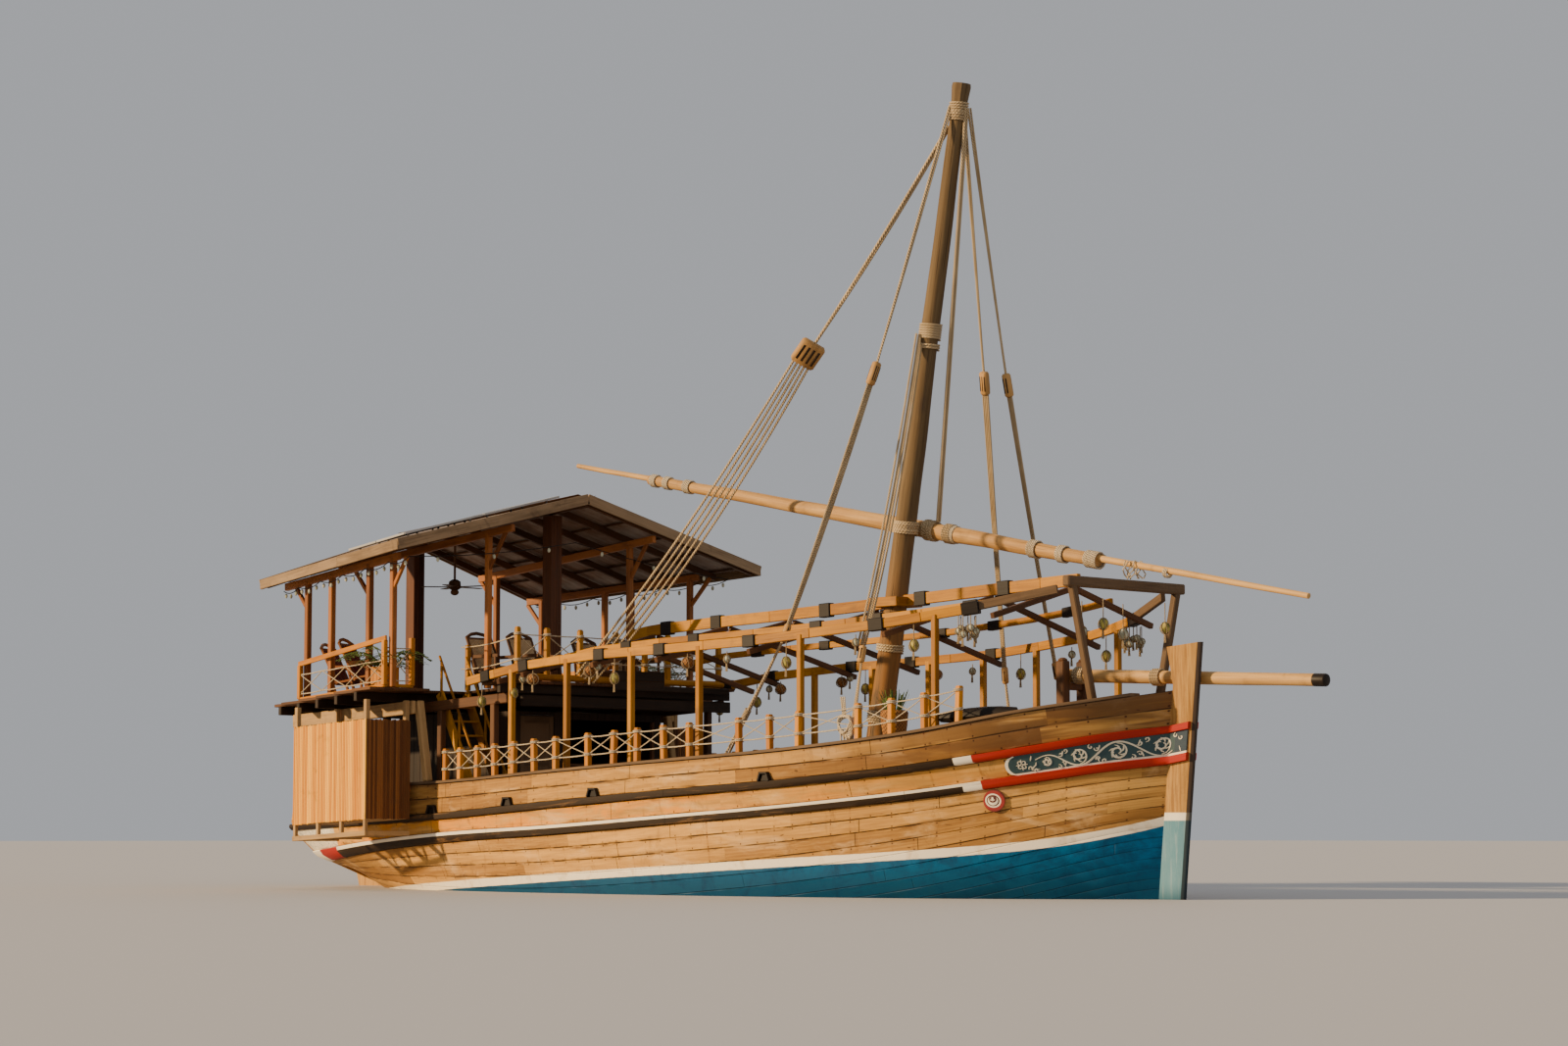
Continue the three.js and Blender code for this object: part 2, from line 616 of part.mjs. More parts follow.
function backstay() {
  const head = point(mastLine(STAY.headZ) - STAY.headOut, -60, STAY.headZ);
  const blockAt = head.clone().lerp(BACKSTAY.foot, BACKSTAY.block);
  const reach = BACKSTAY.foot.clone().sub(head).setLength(BACKSTAY.long);
  return join([
    rod(head, blockAt, 20, 20, 8),
    timber(blockAt, blockAt.clone().add(reach), BACKSTAY.wide, 150),
    rod(blockAt, BACKSTAY.foot, 45, 45, 8),
  ]);
}

function halyard() {
  const head = point(mastLine(STAY.headZ) + STAY.headOut, 0, STAY.headZ);
  return rod(head, point(mastLine(6350) + 330, 0, 6350), 30, 30, 8);
}

// Deckhouse, upper deck and roof

function upperDeck() {
  const { fore, wing, z, thick, beam } = UPPER_DECK;
  const [xF, xW, xA] = [aft(fore), aft(wing), aft(UPPER_DECK.aft)];
  const outline = [
    [xF, -DECK_HALF + 320], [xF, DECK_HALF], [xW, DECK_HALF], [xW, WING_HALF], [xA, STERN_HALF],
    [xA, -STERN_HALF], [xW, -WING_HALF], [xW, -DECK_HALF], [xF - 350, -DECK_HALF],
  ];
  const pieces = [floorPlate(outline, z - thick, z)];
  for (let d = fore + 150; d < UPPER_DECK.aft; d += 820) {
    const x = aft(d);
    const half = d < wing ? DECK_HALF - 20 : WING_HALF - 60 - (WING_HALF - STERN_HALF) * ((d - wing) / (UPPER_DECK.aft - wing));
    pieces.push(block(x - 45, x + 45, -half, half, z - thick - beam, z - thick + 10));
  }
  const well = [aft(STAIRWELL.aft), aft(STAIRWELL.fore)];
  return lean(cut(join(pieces), [block(...well, -DECK_HALF - 10, -STAIRWELL.inner, z - 400, z + 100)]));
}

function upperDeckSide() {
  const { z, thick, beam, aft: back, fore } = UPPER_DECK;
  const top = z - thick - beam - GAP;
  const y = -2580;
  const beamAlong = lean(block(aft(back) + 200, aft(fore) - 100, y - 60, y + 60, top - 180, top));
  const posts = [13500, 15000, 16600].map((d) => {
    const x = aft(d);
    return post(x, y, deckAt(x).z + 4, top + TRIM * (x - TRIM_X) - 60, 120);
  });
  return join([beamAlong, ...posts]);
}

function closet() {
  const { fore, aft: back, inner, outer, floor, top, sill } = CLOSET;
  const [x0, x1] = [aft(back), aft(fore)];
  const underside = UPPER_DECK.z - UPPER_DECK.thick - UPPER_DECK.beam - 3;
  const pieces = [
    block(x0, x1, -outer, -inner, floor - 40, floor + 10),
    block(x0, x1, -outer, -outer + 40, floor, top),
    block(x0, x0 + 40, -outer, -inner, floor, top),
    block(x1 - 40, x1, -outer, -inner, floor, top),
    block(x0, x1, -outer, -outer + 80, sill, sill + 90),
  ];
  for (const x of [x0 + 60, x1 - 60]) {
    for (const y of [-outer + 60, -inner - 60]) pieces.push(post(x, y, floor, underside, 90));
  }
  for (let x = x0 + 50; x <= x1; x += (x1 - x0 - 100) / 3) {
    pieces.push(block(x - 45, x + 45, -outer + 20, -inner, sill, sill + 88));
    pieces.push(post(x, -outer + 45, sill + 20, floor - 10, 70));
  }
  return lean(join(pieces));
}

function cabinWalls() {
  const { half, wall } = CABIN;
  const [x0, x1] = [aft(CABIN.aft), aft(CABIN.fore)];
  const top = UPPER_DECK.z - UPPER_DECK.thick - UPPER_DECK.beam - 190;
  const shell = block(x0, x1, -half, half, deckAt(x1).z + 5, top);
  const { y, width, high } = CABIN_DOOR;
  const sill = deckAt(x1).z + 60;
  return cut(shell, [
    block(x0 + wall, x1 - wall, -half + wall, half - wall, 0, top + 500),
    block(x1 - 200, x1 + 200, y, y + width, sill, sill + high - 30),
    block(x1 - 200, x1 + 200, y + width + 250, half - 200, sill + 850, sill + 1650),
  ]);
}

function cabinDoor() {
  const x1 = aft(CABIN.fore);
  const sill = deckAt(x1).z + 60;
  const { y, width, high } = CABIN_DOOR;
  return block(x1 - 50, x1 - 10, y + 8, y + width - 8, sill + 10, sill + high - 40);
}

const roofHalf = (t) => THREE.MathUtils.lerp(ROOF.halfFore, ROOF.halfAft, t);

// A point on the roof, t of its length aft and part of the way from ridge to eave.
function roofPoint(t, side, part) {
  const apex = THREE.MathUtils.lerp(ROOF_Z.apexFore, ROOF_Z.apexAft, t);
  const eave = THREE.MathUtils.lerp(ROOF_Z.eaveFore, ROOF_Z.eaveAft, t);
  const x = THREE.MathUtils.lerp(aft(ROOF.fore), aft(ROOF.aft), t);
  return point(x, side * roofHalf(t) * part, THREE.MathUtils.lerp(apex, eave, part));
}

const steps = (from, to, count) =>
  Array.from({ length: count + 1 }, (_, i) => from + ((to - from) * i) / count);

function roofSkin() {
  const ringAt = (t) => {
    const top = [roofPoint(t, -1, 1), roofPoint(t, 0, 0), roofPoint(t, 1, 1)];
    return [...top, ...top.map((p) => point(p.x, p.y, p.z - ROOF_THICK)).reverse()];
  };
  return loft(steps(1, 0, 8).map(ringAt));
}

function roofRafters() {
  const down = ROOF_THICK + RAFTER.high / 2 + 18;
  const lower = (p) => point(p.x, p.y, p.z - down);
  const ridge = (t) => lower(roofPoint(t, 0, 0)).add(point(0, 0, -30));
  const pieces = [timber(ridge(0.005), ridge(0.995), 90, RAFTER.high + 40)];
  for (const t of RAFTER.parts) {
    for (const side of [-1, 1]) {
      pieces.push(timber(lower(roofPoint(t, side, 0)), lower(roofPoint(t, side, 0.985)), RAFTER.wide, RAFTER.high));
    }
  }
  return join(pieces);
}

const upperDeckZ = (x) => UPPER_DECK.z + TRIM * (x - TRIM_X);

// A plate under the rafters, with its posts down to the upper deck.
function roofPlate(side, partAt, ends, postsAt) {
  const down = ROOF_THICK + RAFTER.high + 44 + 70;
  const at = (t) => {
    const p = roofPoint(t, side, partAt(t));
    return point(p.x, p.y, p.z - down);
  };
  const pieces = [timber(at(ends[0]), at(ends[1]), 90, 140)];
  for (const t of postsAt) {
    const p = at(t);
    pieces.push(post(p.x, p.y, upperDeckZ(p.x) + 6, p.z, 110));
  }
  return join(pieces);
}

function roofColumn([d, y]) {
  const x = aft(d);
  const t = (d - ROOF.fore) / (ROOF.aft - ROOF.fore);
  const top = roofPoint(t, 0, 0).z - ROOF_THICK - RAFTER.high - 95;
  return post(x, y, upperDeckZ(x) + 12, top, 260);
}

function solarPanels() {
  const corner = (t, part) => roofPoint(t, -1, part);
  const ringAt = (t) => {
    const pair = [corner(t, 0.95), corner(t, 0.12)];
    return [...pair.map((p) => point(p.x, p.y, p.z + 110)), ...pair.map((p) => point(p.x, p.y, p.z + 60)).reverse()];
  };
  return loft(steps(0.42, 0.03, 4).map(ringAt));
}

function stair() {
  const { y, half, rail, size, treads } = STAIR;
  const top = point(aft(STAIR.top), y, UPPER_DECK.z - 70);
  const foot = point(aft(STAIR.foot), y, deckAt(aft(STAIR.foot)).z + 110);
  const pieces = [];
  for (const side of [-1, 1]) {
    const ends = [top, foot].map((p) => point(p.x, p.y + side * half, p.z));
    const raised = ends.map((p) => point(p.x, p.y, p.z + rail));
    pieces.push(timber(...ends, 45, 200));
    pieces.push(timber(...raised, size, size, 40));
    for (const part of [0.04, 0.5, 0.96]) {
      const p = ends[0].clone().lerp(ends[1], part);
      pieces.push(post(p.x, p.y, p.z, p.z + rail, size));
    }
  }
  for (const part of steps(0, 1, treads).slice(1, -1)) {
    const { x, z } = foot.clone().lerp(top, part);
    pieces.push(block(x - 110, x + 110, y - half - 10, y + half + 10, z - 20, z + 20));
  }
  return join(pieces);
}

// A beam across the boat that carries the fore rail's posts, at the upper deck's front edge.
function foreRail() {
  const { ys, high, size, sill } = FORE_RAIL;
  const x = aft(FORE_RAIL.d);
  const z = upperDeckZ(x) + 3;
  const log = rod(point(x, ys[0] - 200, z + sill / 2), point(x, ys.at(-1) + 100, z + sill / 2), sill / 2, sill / 2, 10);
  return join([log, ...ys.map((y) => post(x, y, z + 20, z + high, size))]);
}

// The wing deck's rail: a footboard, three posts and a flat top rail.
function wingRail() {
  const onDeck = ({ d, y }, up) => point(aft(d), -y, upperDeckZ(aft(d)) + up);
  const { aft: back, fore, inner } = WING_RAIL;
  const foot = 40;
  const pieces = [
    timber(onDeck(back, foot), onDeck(fore, foot), 60, 60, 20),
    timber(onDeck(fore, foot), onDeck(inner, foot), 60, 60, 20),
    timber(onDeck(back, back.high), onDeck(fore, fore.high), 40, 95, 60),
  ];
  for (const place of [back, fore, inner]) {
    const base = onDeck(place, 0);
    pieces.push(post(base.x, base.y, base.z + foot, base.z + place.high, 90));
  }
  return join(pieces);
}

function signBoard() {
  const [y0, y1] = SIGN.y;
  return block(aft(SIGN.d) - 20, aft(SIGN.d) + 20, y0, y1, ...SIGN.z);
}

// Two posts and a bolster that carry the bowsprit's heel.
function bitts() {
  const { d, apart, size, over } = BITTS;
  const x = aft(d);
  const heel = THREE.MathUtils.mapLinear(x, BOWSPRIT.xIn, BOWSPRIT.xOut, BOWSPRIT.zIn, BOWSPRIT.zOut);
  const under = heel - BOWSPRIT.r * 1.1 - 4;
  const pieces = [block(x - 60, x + 60, BOWSPRIT.y - apart, BOWSPRIT.y + apart, under - 130, under)];
  for (const side of [-1, 1]) {
    pieces.push(post(x, BOWSPRIT.y + side * apart, deckAt(x + size / 2).z + 3, heel + over, size));
  }
  return join(pieces);
}

// Boards along the roof's edges.
function roofFascia() {
  const { thick, high } = FASCIA;
  const out = thick / 2 + 8;
  const edge = (t, side, part) => {
    const p = roofPoint(t, side, part);
    return point(p.x + (t === 0 ? out : -out), p.y + side * part * out, p.z - high / 2 + 12);
  };
  const pieces = [];
  for (const side of [-1, 1]) {
    pieces.push(timber(edge(0, side, 1), edge(1, side, 1), thick, high, 8));
    for (const t of [0, 1]) pieces.push(timber(edge(t, 0, 0), edge(t, side, 1), thick, high, 8));
  }
  return join(pieces);
}

// Rudder

const RUDDER_GAP = 70;            // from the stern post to the rudder's leading edge
const RUDDER_HEAD = 2250;
const rudderGroup = new THREE.Group();

function rudder() {
  const lead = (z) => postLine(z) - POST.gap - POST.depth - RUDDER_GAP;
  return sidePlate([
    [lead(-1850), -1850],
    [lead(RUDDER_HEAD), RUDDER_HEAD],
    [lead(RUDDER_HEAD) - 320, RUDDER_HEAD],
    [lead(1000) - 420, 1000],
    [lead(700) - 800, 700],
    [lead(-1850) - 1150, -1850],
  ], 55);
}

function tiller() {
  const z = RUDDER_HEAD + 50 + GAP;
  const x = postLine(z) - POST.gap - POST.depth - RUDDER_GAP;
  return polyBeam([point(x + 1600, 0, z + 230), point(x + 80, 0, z), point(x - 380, 0, z)], 90, 100);
}

// Assembly

add('hull', hull(), 'planks');
add('keel', keel(), 'blue');
add('stem_post', stemPost(), 'pale');
add('stern_post', sternPost(), 'planks');
add('transom', transom(), 'planks');
addBothSides('lower_wale', lowerWale, 'dark');
addBothSides('upper_wale', upperWale, 'dark');
addBothSides('bow_panel', bowPanel(), 'blue');
addBothSides('oculus', oculus(), 'red');
add('gunwale_starboard', gunwale(-1), 'pale');
add('gunwale_port', gunwale(1), 'pale');
add('mast', mast(), 'spar');
add('mast_partners', mastPartners(), 'brown');
add('yard', yard(), 'spar');
add('parrel', parrel(), 'rope');
add('bowsprit', bowsprit(), 'spar');
add('bow_frame', bowFrame(), 'orange');
add('bitts', bitts(), 'brown');
add('awning_side_starboard', awningSide(-1, AWNING_POSTS.starboard), 'orange');
add('awning_side_port', awningSide(1, AWNING_POSTS.port), 'orange');
add('awning_ridge', awningRidge(), 'orange');
addBothSides('awning_rafters', awningRafters(-1), 'orange');
add('shroud_starboard', shroud(-1, 7150, -60), 'rope');
add('shroud_port_aft', shroud(1, 6100, -60), 'rope');
add('shroud_port_fore', shroud(1, 4650, 60), 'rope');
add('backstay', backstay(), 'rope');
add('halyard', halyard(), 'rope');
add('upper_deck', upperDeck(), 'brown');
addBothSides('upper_deck_side', upperDeckSide(), 'brown');
add('fore_rail', foreRail(), 'orange');
addBothSides('wing_rail', wingRail(), 'orange');
add('sign_board', signBoard(), 'dark');
addBothSides('closet', closet(), 'reed');
add('cabin_walls', cabinWalls(), 'brown');
add('cabin_door', cabinDoor(), 'grey');
add('stair', stair(), 'orange');
add('roof_skin', roofSkin(), 'roof');
add('roof_rafters', roofRafters(), 'brown');
add('roof_fascia', roofFascia(), 'brown');
for (const [side, name] of [[-1, 'starboard'], [1, 'port']]) {
  const inner = roofPlate(side, (t) => ROOF_INNER.y / roofHalf(t), ROOF_INNER.ends, ROOF_INNER[name]);
  const outer = roofPlate(side, () => ROOF_OUTER.part, ROOF_OUTER.ends, ROOF_OUTER[name]);
  add(`roof_plate_${name}`, inner, 'orange');
  add(`roof_wing_plate_${name}`, outer, 'orange');
}
add('roof_column_fore', roofColumn(COLUMNS.fore), 'brown');
add('roof_column_aft', roofColumn(COLUMNS.aft), 'brown');
add('solar_panels', solarPanels(), 'panel');
add('rudder', rudder(), 'planks', rudderGroup);
add('tiller', tiller(), 'orange', rudderGroup);
boat.add(rudderGroup);

export default boat;
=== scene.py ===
import itertools
import json
import math
import random

import bmesh
import bpy
from mathutils import Matrix, Vector, noise


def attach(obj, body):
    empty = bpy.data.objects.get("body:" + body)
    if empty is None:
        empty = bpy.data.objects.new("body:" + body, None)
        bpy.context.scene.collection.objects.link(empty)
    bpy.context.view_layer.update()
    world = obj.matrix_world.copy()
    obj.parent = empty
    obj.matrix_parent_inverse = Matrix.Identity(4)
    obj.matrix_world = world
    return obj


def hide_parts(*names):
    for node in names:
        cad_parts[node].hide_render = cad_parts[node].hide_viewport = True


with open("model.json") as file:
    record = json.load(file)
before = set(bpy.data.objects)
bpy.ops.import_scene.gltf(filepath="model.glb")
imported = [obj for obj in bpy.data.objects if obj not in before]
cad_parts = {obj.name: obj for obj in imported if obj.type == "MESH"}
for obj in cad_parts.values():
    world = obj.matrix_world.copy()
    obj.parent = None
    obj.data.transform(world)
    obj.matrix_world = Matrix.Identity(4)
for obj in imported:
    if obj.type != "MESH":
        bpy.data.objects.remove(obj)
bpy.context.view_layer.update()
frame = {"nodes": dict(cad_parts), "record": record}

# The looks of a wooden dhow afloat. Metres, +X towards the bow, +Y to port, +Z up, waterline at zero.

CAMERA_AT = Vector((43.3, -40.75, 1.0))
CAMERA_HEADING = Vector((-0.716, 0.698, 0))
CAMERA_PITCH = math.radians(5.26)
CAMERA_LENS = 77.6

SIDES = ((-1, "starboard"), (1, "port"))

rng = random.Random(11)

# Hull form, the same stations as the construction has

BOW_X = 10.3
KEEL_AFT = (BOW_X - 18.6, -1.75)
KEEL_FORE = (BOW_X - 2.5, -1.1)
KEEL_HALF = 0.12
STERN_RAKE = 0.475
STERN_KNUCKLE = 0.95
STEM_DEPTH = 0.42
STEM_RAKE = 0.098
BULWARK = 0.14
DECK_DROP = 0.55
LEAST_HALF = 0.02
COLUMNS = ("t", "b20", "b45", "b75", "water", "low", "high", "top", "z_low", "z_high", "z_top")
OFFSETS = (
    (0.000, 0.12, 0.125, 0.135, 0.35, 1.75, 2.30, 2.20, 0.580, 1.130, 1.830),
    (0.060, 0.18, 0.35, 0.70, 1.30, 2.30, 2.55, 2.56, 0.640, 1.170, 1.840),
    (0.150, 0.45, 1.00, 1.70, 2.15, 2.70, 2.82, 2.85, 0.780, 1.225, 1.860),
    (0.280, 1.05, 2.00, 2.60, 2.80, 3.05, 3.10, 3.10, 0.940, 1.320, 1.900),
    (0.450, 1.45, 2.55, 2.98, 3.10, 3.25, 3.30, 3.30, 1.080, 1.508, 2.054),
    (0.600, 1.35, 2.45, 2.90, 3.05, 3.22, 3.28, 3.30, 1.246, 1.677, 2.194),
    (0.740, 0.95, 1.85, 2.40, 2.65, 2.92, 3.05, 3.12, 1.426, 1.834, 2.343),
    (0.850, 0.50, 1.05, 1.60, 1.95, 2.30, 2.50, 2.65, 1.640, 2.040, 2.570),
    (0.930, 0.25, 0.50, 0.80, 1.10, 1.45, 1.65, 1.85, 1.881, 2.301, 2.879),
    (0.975, 0.15, 0.22, 0.35, 0.50, 0.72, 0.85, 1.00, 2.041, 2.492, 3.059),
    (1.000, 0.12, 0.12, 0.12, 0.12, 0.12, 0.12, 0.12, 2.128, 2.604, 3.205),
)


def lerp(a, b, part):
    return a + (b - a) * part


def fair(xs, ys, x):
    """A smooth curve through the points, at x."""
    last = len(xs) - 2
    i = max(0, min(last, next((k for k, v in enumerate(xs) if v > x), len(xs)) - 1))
    slopes = [(ys[k + 1] - ys[k]) / (xs[k + 1] - xs[k]) for k in range(len(xs) - 1)]

    def tangent(k):
        if k == 0 or k == len(xs) - 1:
            return slopes[min(k, last)]
        before, after = xs[k] - xs[k - 1], xs[k + 1] - xs[k]
        return (slopes[k - 1] * after + slopes[k] * before) / (before + after)

    width = xs[i + 1] - xs[i]
    u = (x - xs[i]) / width
    a, b = tangent(i) * width, tangent(i + 1) * width
    rise = ys[i + 1] - ys[i]
    return ys[i] + u * a + u * u * (3 * rise - 2 * a - b) + u * u * u * (a + b - 2 * rise)


STATIONS_T = [row[0] for row in OFFSETS]


def station(t):
    """The hull's half-breadths and heights, t of the way from sternpost to stem."""
    return {
        name: fair(STATIONS_T, [row[k] for row in OFFSETS], t)
        for k, name in enumerate(COLUMNS)
    }


def aft(distance):
    """Places are measured aft from the stem's foot on the waterline."""
    return BOW_X - distance


def post_line(z):
    return KEEL_AFT[0] - STERN_RAKE * (z - KEEL_AFT[1])


def stern_line(z):
    """The planking's aft end, upright above the knuckle."""
    return post_line(min(z, STERN_KNUCKLE))


def stem_line(z):
    base = BOW_X - STEM_DEPTH
    if z >= 0:
        return base + STEM_RAKE * z
    part = min(1, z / KEEL_FORE[1])
    return KEEL_FORE[0] + (base - KEEL_FORE[0]) * math.sqrt(1 - part * part)


def hull_point(t, y, z):
    return Vector((lerp(stern_line(z), stem_line(z), t), y, z))


def side_breadth(s, z):
    """Half-breadth above the water at a station."""
    heights = [0, s["z_low"], s["z_high"], s["z_top"]]
    breadths = [s["water"], s["low"], s["high"], s["top"]]
    k = 0 if z < heights[1] else 1 if z < heights[2] else 2
    part = (z - heights[k]) / (heights[k + 1] - heights[k])
    return lerp(breadths[k], breadths[k + 1], part)


def wale_half(s, height):
    """Half the depth of the wale at a height's line; the lower one is slimmer forward."""
    return lerp(0.098, 0.062, s["t"]) if height == "z_low" else 0.057


def bottom_curve(s, part):
    """(y, z) on the side below the lower wale: 0 at the wale, 1 at the keel."""
    keel = lerp(KEEL_AFT[1], KEEL_FORE[1], s["t"])
    under = s["z_low"] - wale_half(s, "z_low")
    ys = [side_breadth(s, under), s["water"], s["b75"], s["b45"], s["b20"], KEEL_HALF]
    zs = [under, 0, keel * 0.25, keel * 0.55, keel * 0.8, keel]
    reach = [0]
    for k in range(5):
        reach.append(reach[-1] + math.hypot(ys[k + 1] - ys[k], zs[k + 1] - zs[k]))
    at = part * reach[-1]
    return fair(reach, ys, at), fair(reach, zs, at)


def t_at(x, z):
    return (x - stern_line(z)) / (stem_line(z) - stern_line(z))


def station_at(x, height, guess):
    """The station at x on the line that height(station) picks, near a guessed height."""
    t = t_at(x, guess)
    for _ in range(3):
        t = t_at(x, height(station(min(1, max(0, t)))))
    return station(min(1, max(0, t)))


def line_at(x, height):
    """A side's half-breadth and height at x, where height(station) picks the line."""
    s = station_at(x, height, 2.0)
    z = height(s)
    return side_breadth(s, z), z


def deck_height(s):
    return s["z_top"] - DECK_DROP


def deck_z(x):
    return deck_height(station_at(x, deck_height, 1.6))


def deck_breadth(s):
    """Half-breadth of the main deck inside the bulwark."""
    return min(s["top"], side_breadth(s, deck_height(s))) - BULWARK


def deck_half(x):
    t = t_at(x, deck_z(x))
    return max(LEAST_HALF, deck_breadth(station(min(1, max(0, t)))))


# Shader maths

WOOD_SHINE = 0.2
LEAF_SHINE = 0.3


class Wire:
    """A socket in a finish's nodes, with the arithmetic that adds its Math nodes."""

    def __init__(self, finish, socket):
        self.finish = finish
        self.socket = socket

    def maths(self, operation, *others, swap=False):
        values = [self, *others]
        if swap:
            values.reverse()
        return self.finish.node("Math", {"operation": operation}, dict(enumerate(values)))

    def __add__(self, other):
        return self.maths("ADD", other)

    def __sub__(self, other):
        return self.maths("SUBTRACT", other)

    def __rsub__(self, other):
        return self.maths("SUBTRACT", other, swap=True)

    def __mul__(self, other):
        return self.maths("MULTIPLY", other)

    def __truediv__(self, other):
        return self.maths("DIVIDE", other)

    def __gt__(self, other):
        return self.maths("GREATER_THAN", other)

    def __lt__(self, other):
        return self.maths("LESS_THAN", other)

    def __abs__(self):
        return self.maths("ABSOLUTE")

    __radd__ = __add__
    __rmul__ = __mul__

    def most(self, other):
        return self.maths("MAXIMUM", other)

    def floor(self):
        return self.maths("FLOOR")

    def fract(self):
        return self.maths("FRACT")

    def sine(self):
        return self.maths("SINE")

    def exp(self):
        return self.maths("EXPONENT")

    def power(self, other):
        return self.maths("POWER", other)

    def smooth(self, low, high):
        """0 below low, 1 above high and smooth between."""
        return self.finish.node(
            "MapRange", {"interpolation_type": "SMOOTHSTEP"}, {0: self, 1: low, 2: high}
        )


class Finish:
    """A material that is put together from nodes."""

    def __init__(self, name):
        self.material = bpy.data.materials.new(name)
        self.material.use_nodes = True
        self.tree = self.material.node_tree
        self.surface = self.tree.nodes["Principled BSDF"]

    def node(self, kind, settings=None, sockets=None, output=0):
        made = self.tree.nodes.new("ShaderNode" + kind)
        for key, value in (settings or {}).items():
            setattr(made, key, value)
        for key, value in (sockets or {}).items():
            self.join(made.inputs[key], value)
        return Wire(self, made.outputs[output])

    def join(self, socket, value):
        if isinstance(value, Wire):
            self.tree.links.new(value.socket, socket)
        elif socket.type == "RGBA":
            socket.default_value = (*value[:3], 1)
        else:
            socket.default_value = value

    def point(self):
        return self.node("TexCoord", output="Object")

    def parts(self, vector):
        first = self.node("SeparateXYZ", None, {0: vector})
        return [Wire(self, socket) for socket in first.socket.node.outputs]

    def mapped(self):
        """The parts of the piece's own map."""
        return self.parts(self.node("TexCoord", output="UV"))

    def vector(self, x, y, z):
        return self.node("CombineXYZ", None, {0: x, 1: y, 2: z})

    def scaled(self, vector, by):
        return self.node("VectorMath", {"operation": "MULTIPLY"}, {0: vector, 1: by})

    def noise(self, vector, scale, detail=3.0, rough=0.55, twist=0.0):
        sockets = {"Vector": vector, "Scale": scale, "Detail": detail, "Roughness": rough,
                   "Distortion": twist}
        return self.node("TexNoise", None, sockets)

    def chance(self, vector):
        """A random number that is the same all over a cell."""
        return self.node("TexWhiteNoise", None, {"Vector": vector})

    def mix(self, part, a, b):
        """The colour a where part is 0 and b where it is 1."""
        return self.node("Mix", {"data_type": "RGBA"}, {0: part, 6: a, 7: b}, output=2)

    def paint(self, colour, rough, height=None, depth=0.004, shine=0.5):
        """Feeds the surface; height is its relief, depth metres deep, and shine how much it mirrors."""
        self.join(self.surface.inputs["Base Color"], colour)
        self.join(self.surface.inputs["Roughness"], rough)
        self.surface.inputs["Specular IOR Level"].default_value = shine
        if height is not None:
            normal = self.node("Bump", None, {"Height": height, "Distance": depth, "Strength": 1.0})
            self.join(self.surface.inputs["Normal"], normal)
        return self.material


def grain_of(finish):
    """(along, across, piece) from the grain map, whose across holds 10 for each timber."""
    along, mapped, _ = finish.mapped()
    piece = (mapped * 0.1 + 0.5).floor()
    return along, mapped - piece * 10, piece


def timber(name, pale, deep, rough=0.6, dirt=(0.05, 0.03, 0.02), wear=0.4, cracks=0.35):
    """Sawn timber whose grain follows the piece's own map."""
    f = Finish(name)
    along, across, piece = grain_of(f)
    tone = f.chance(f.vector(piece, 0, 0))
    fine = f.noise(f.vector(along * 1.6, across * 34, piece * 3.7), 1.0, 5, 0.6, 0.4)
    broad = f.noise(f.vector(along * 0.7, across * 5, piece * 1.9), 1.0, 3, 0.5, 0.8)
    wood = f.mix((fine * 0.6 + broad * 0.55 + tone * 0.35 - 0.25).smooth(0.15, 0.85), deep, pale)
    split = f.noise(f.vector(along * 0.9, across * 46, piece * 5.3), 1.0, 2, 0.4, 0.2)
    crack = split.smooth(0.66, 0.74) * cracks
    patch = f.noise(f.point(), 2.6, 4, 0.65, 0.5).smooth(0.52, 0.8) * wear
    colour = f.mix(patch, f.mix(crack, wood, dirt), dirt)
    height = fine * 0.25 - crack * 1.2
    return f.paint(colour, (fine * 0.2 + (rough - 0.1)), height, 0.003, shine=WOOD_SHINE)


# Making and placing pieces

scene = bpy.context.scene


def keep(name, bm, material, body="boat", replaces=(), angle=32, normals=True):
    """Turns a bmesh into a piece of the boat."""
    if normals:
        bmesh.ops.recalc_face_normals(bm, faces=bm.faces)
    sharp = math.radians(angle)
    for face in bm.faces:
        face.smooth = True
    for edge in bm.edges:
        edge.smooth = len(edge.link_faces) == 2 and edge.calc_face_angle(0) < sharp
    mesh = bpy.data.meshes.new(name)
    bm.to_mesh(mesh)
    bm.free()
    piece = bpy.data.objects.new(name, mesh)
    scene.collection.objects.link(piece)
    mesh.materials.append(material)
    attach(piece, body)
    if replaces:
        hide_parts(*replaces)
    return piece


def fresh():
    """An empty bmesh that has the grain map."""
    bm = bmesh.new()
    bm.loops.layers.uv.new("grain")
    return bm


def skin(bm, columns, rows, place, grain):
    """A grid bent into a surface; place and grain take s along and r across, each 0 to 1."""
    made = bmesh.ops.create_grid(bm, x_segments=columns, y_segments=rows, size=0.5)["verts"]
    layer = bm.loops.layers.uv.verify()
    for face in {face for vert in made for face in vert.link_faces}:
        for loop in face.loops:
            loop[layer].uv = grain(loop.vert.co.x + 0.5, loop.vert.co.y + 0.5)
    for vert in made:
        vert.co = place(vert.co.x + 0.5, vert.co.y + 0.5)
    return made


def sweep(bm, rings, grain):
    """A closed body through rings of points; grain takes the numbers of ring and point."""
    columns, around = len(rings) - 1, len(rings[0])

    def numbers(s, r):
        return round(s * columns), round(r * around)

    def place(s, r):
        k, j = numbers(s, r)
        return rings[k][j % around]

    made = skin(bm, columns, around, place, lambda s, r: grain(*numbers(s, r)))
    seam = [vert for vert in made if vert.is_boundary]
    bmesh.ops.remove_doubles(bm, verts=seam, dist=1e-6)
    ends = {edge for vert in seam if vert.is_valid for edge in vert.link_edges if edge.is_boundary}
    bmesh.ops.holes_fill(bm, edges=list(ends), sides=0)


timber_numbers = itertools.count(1)


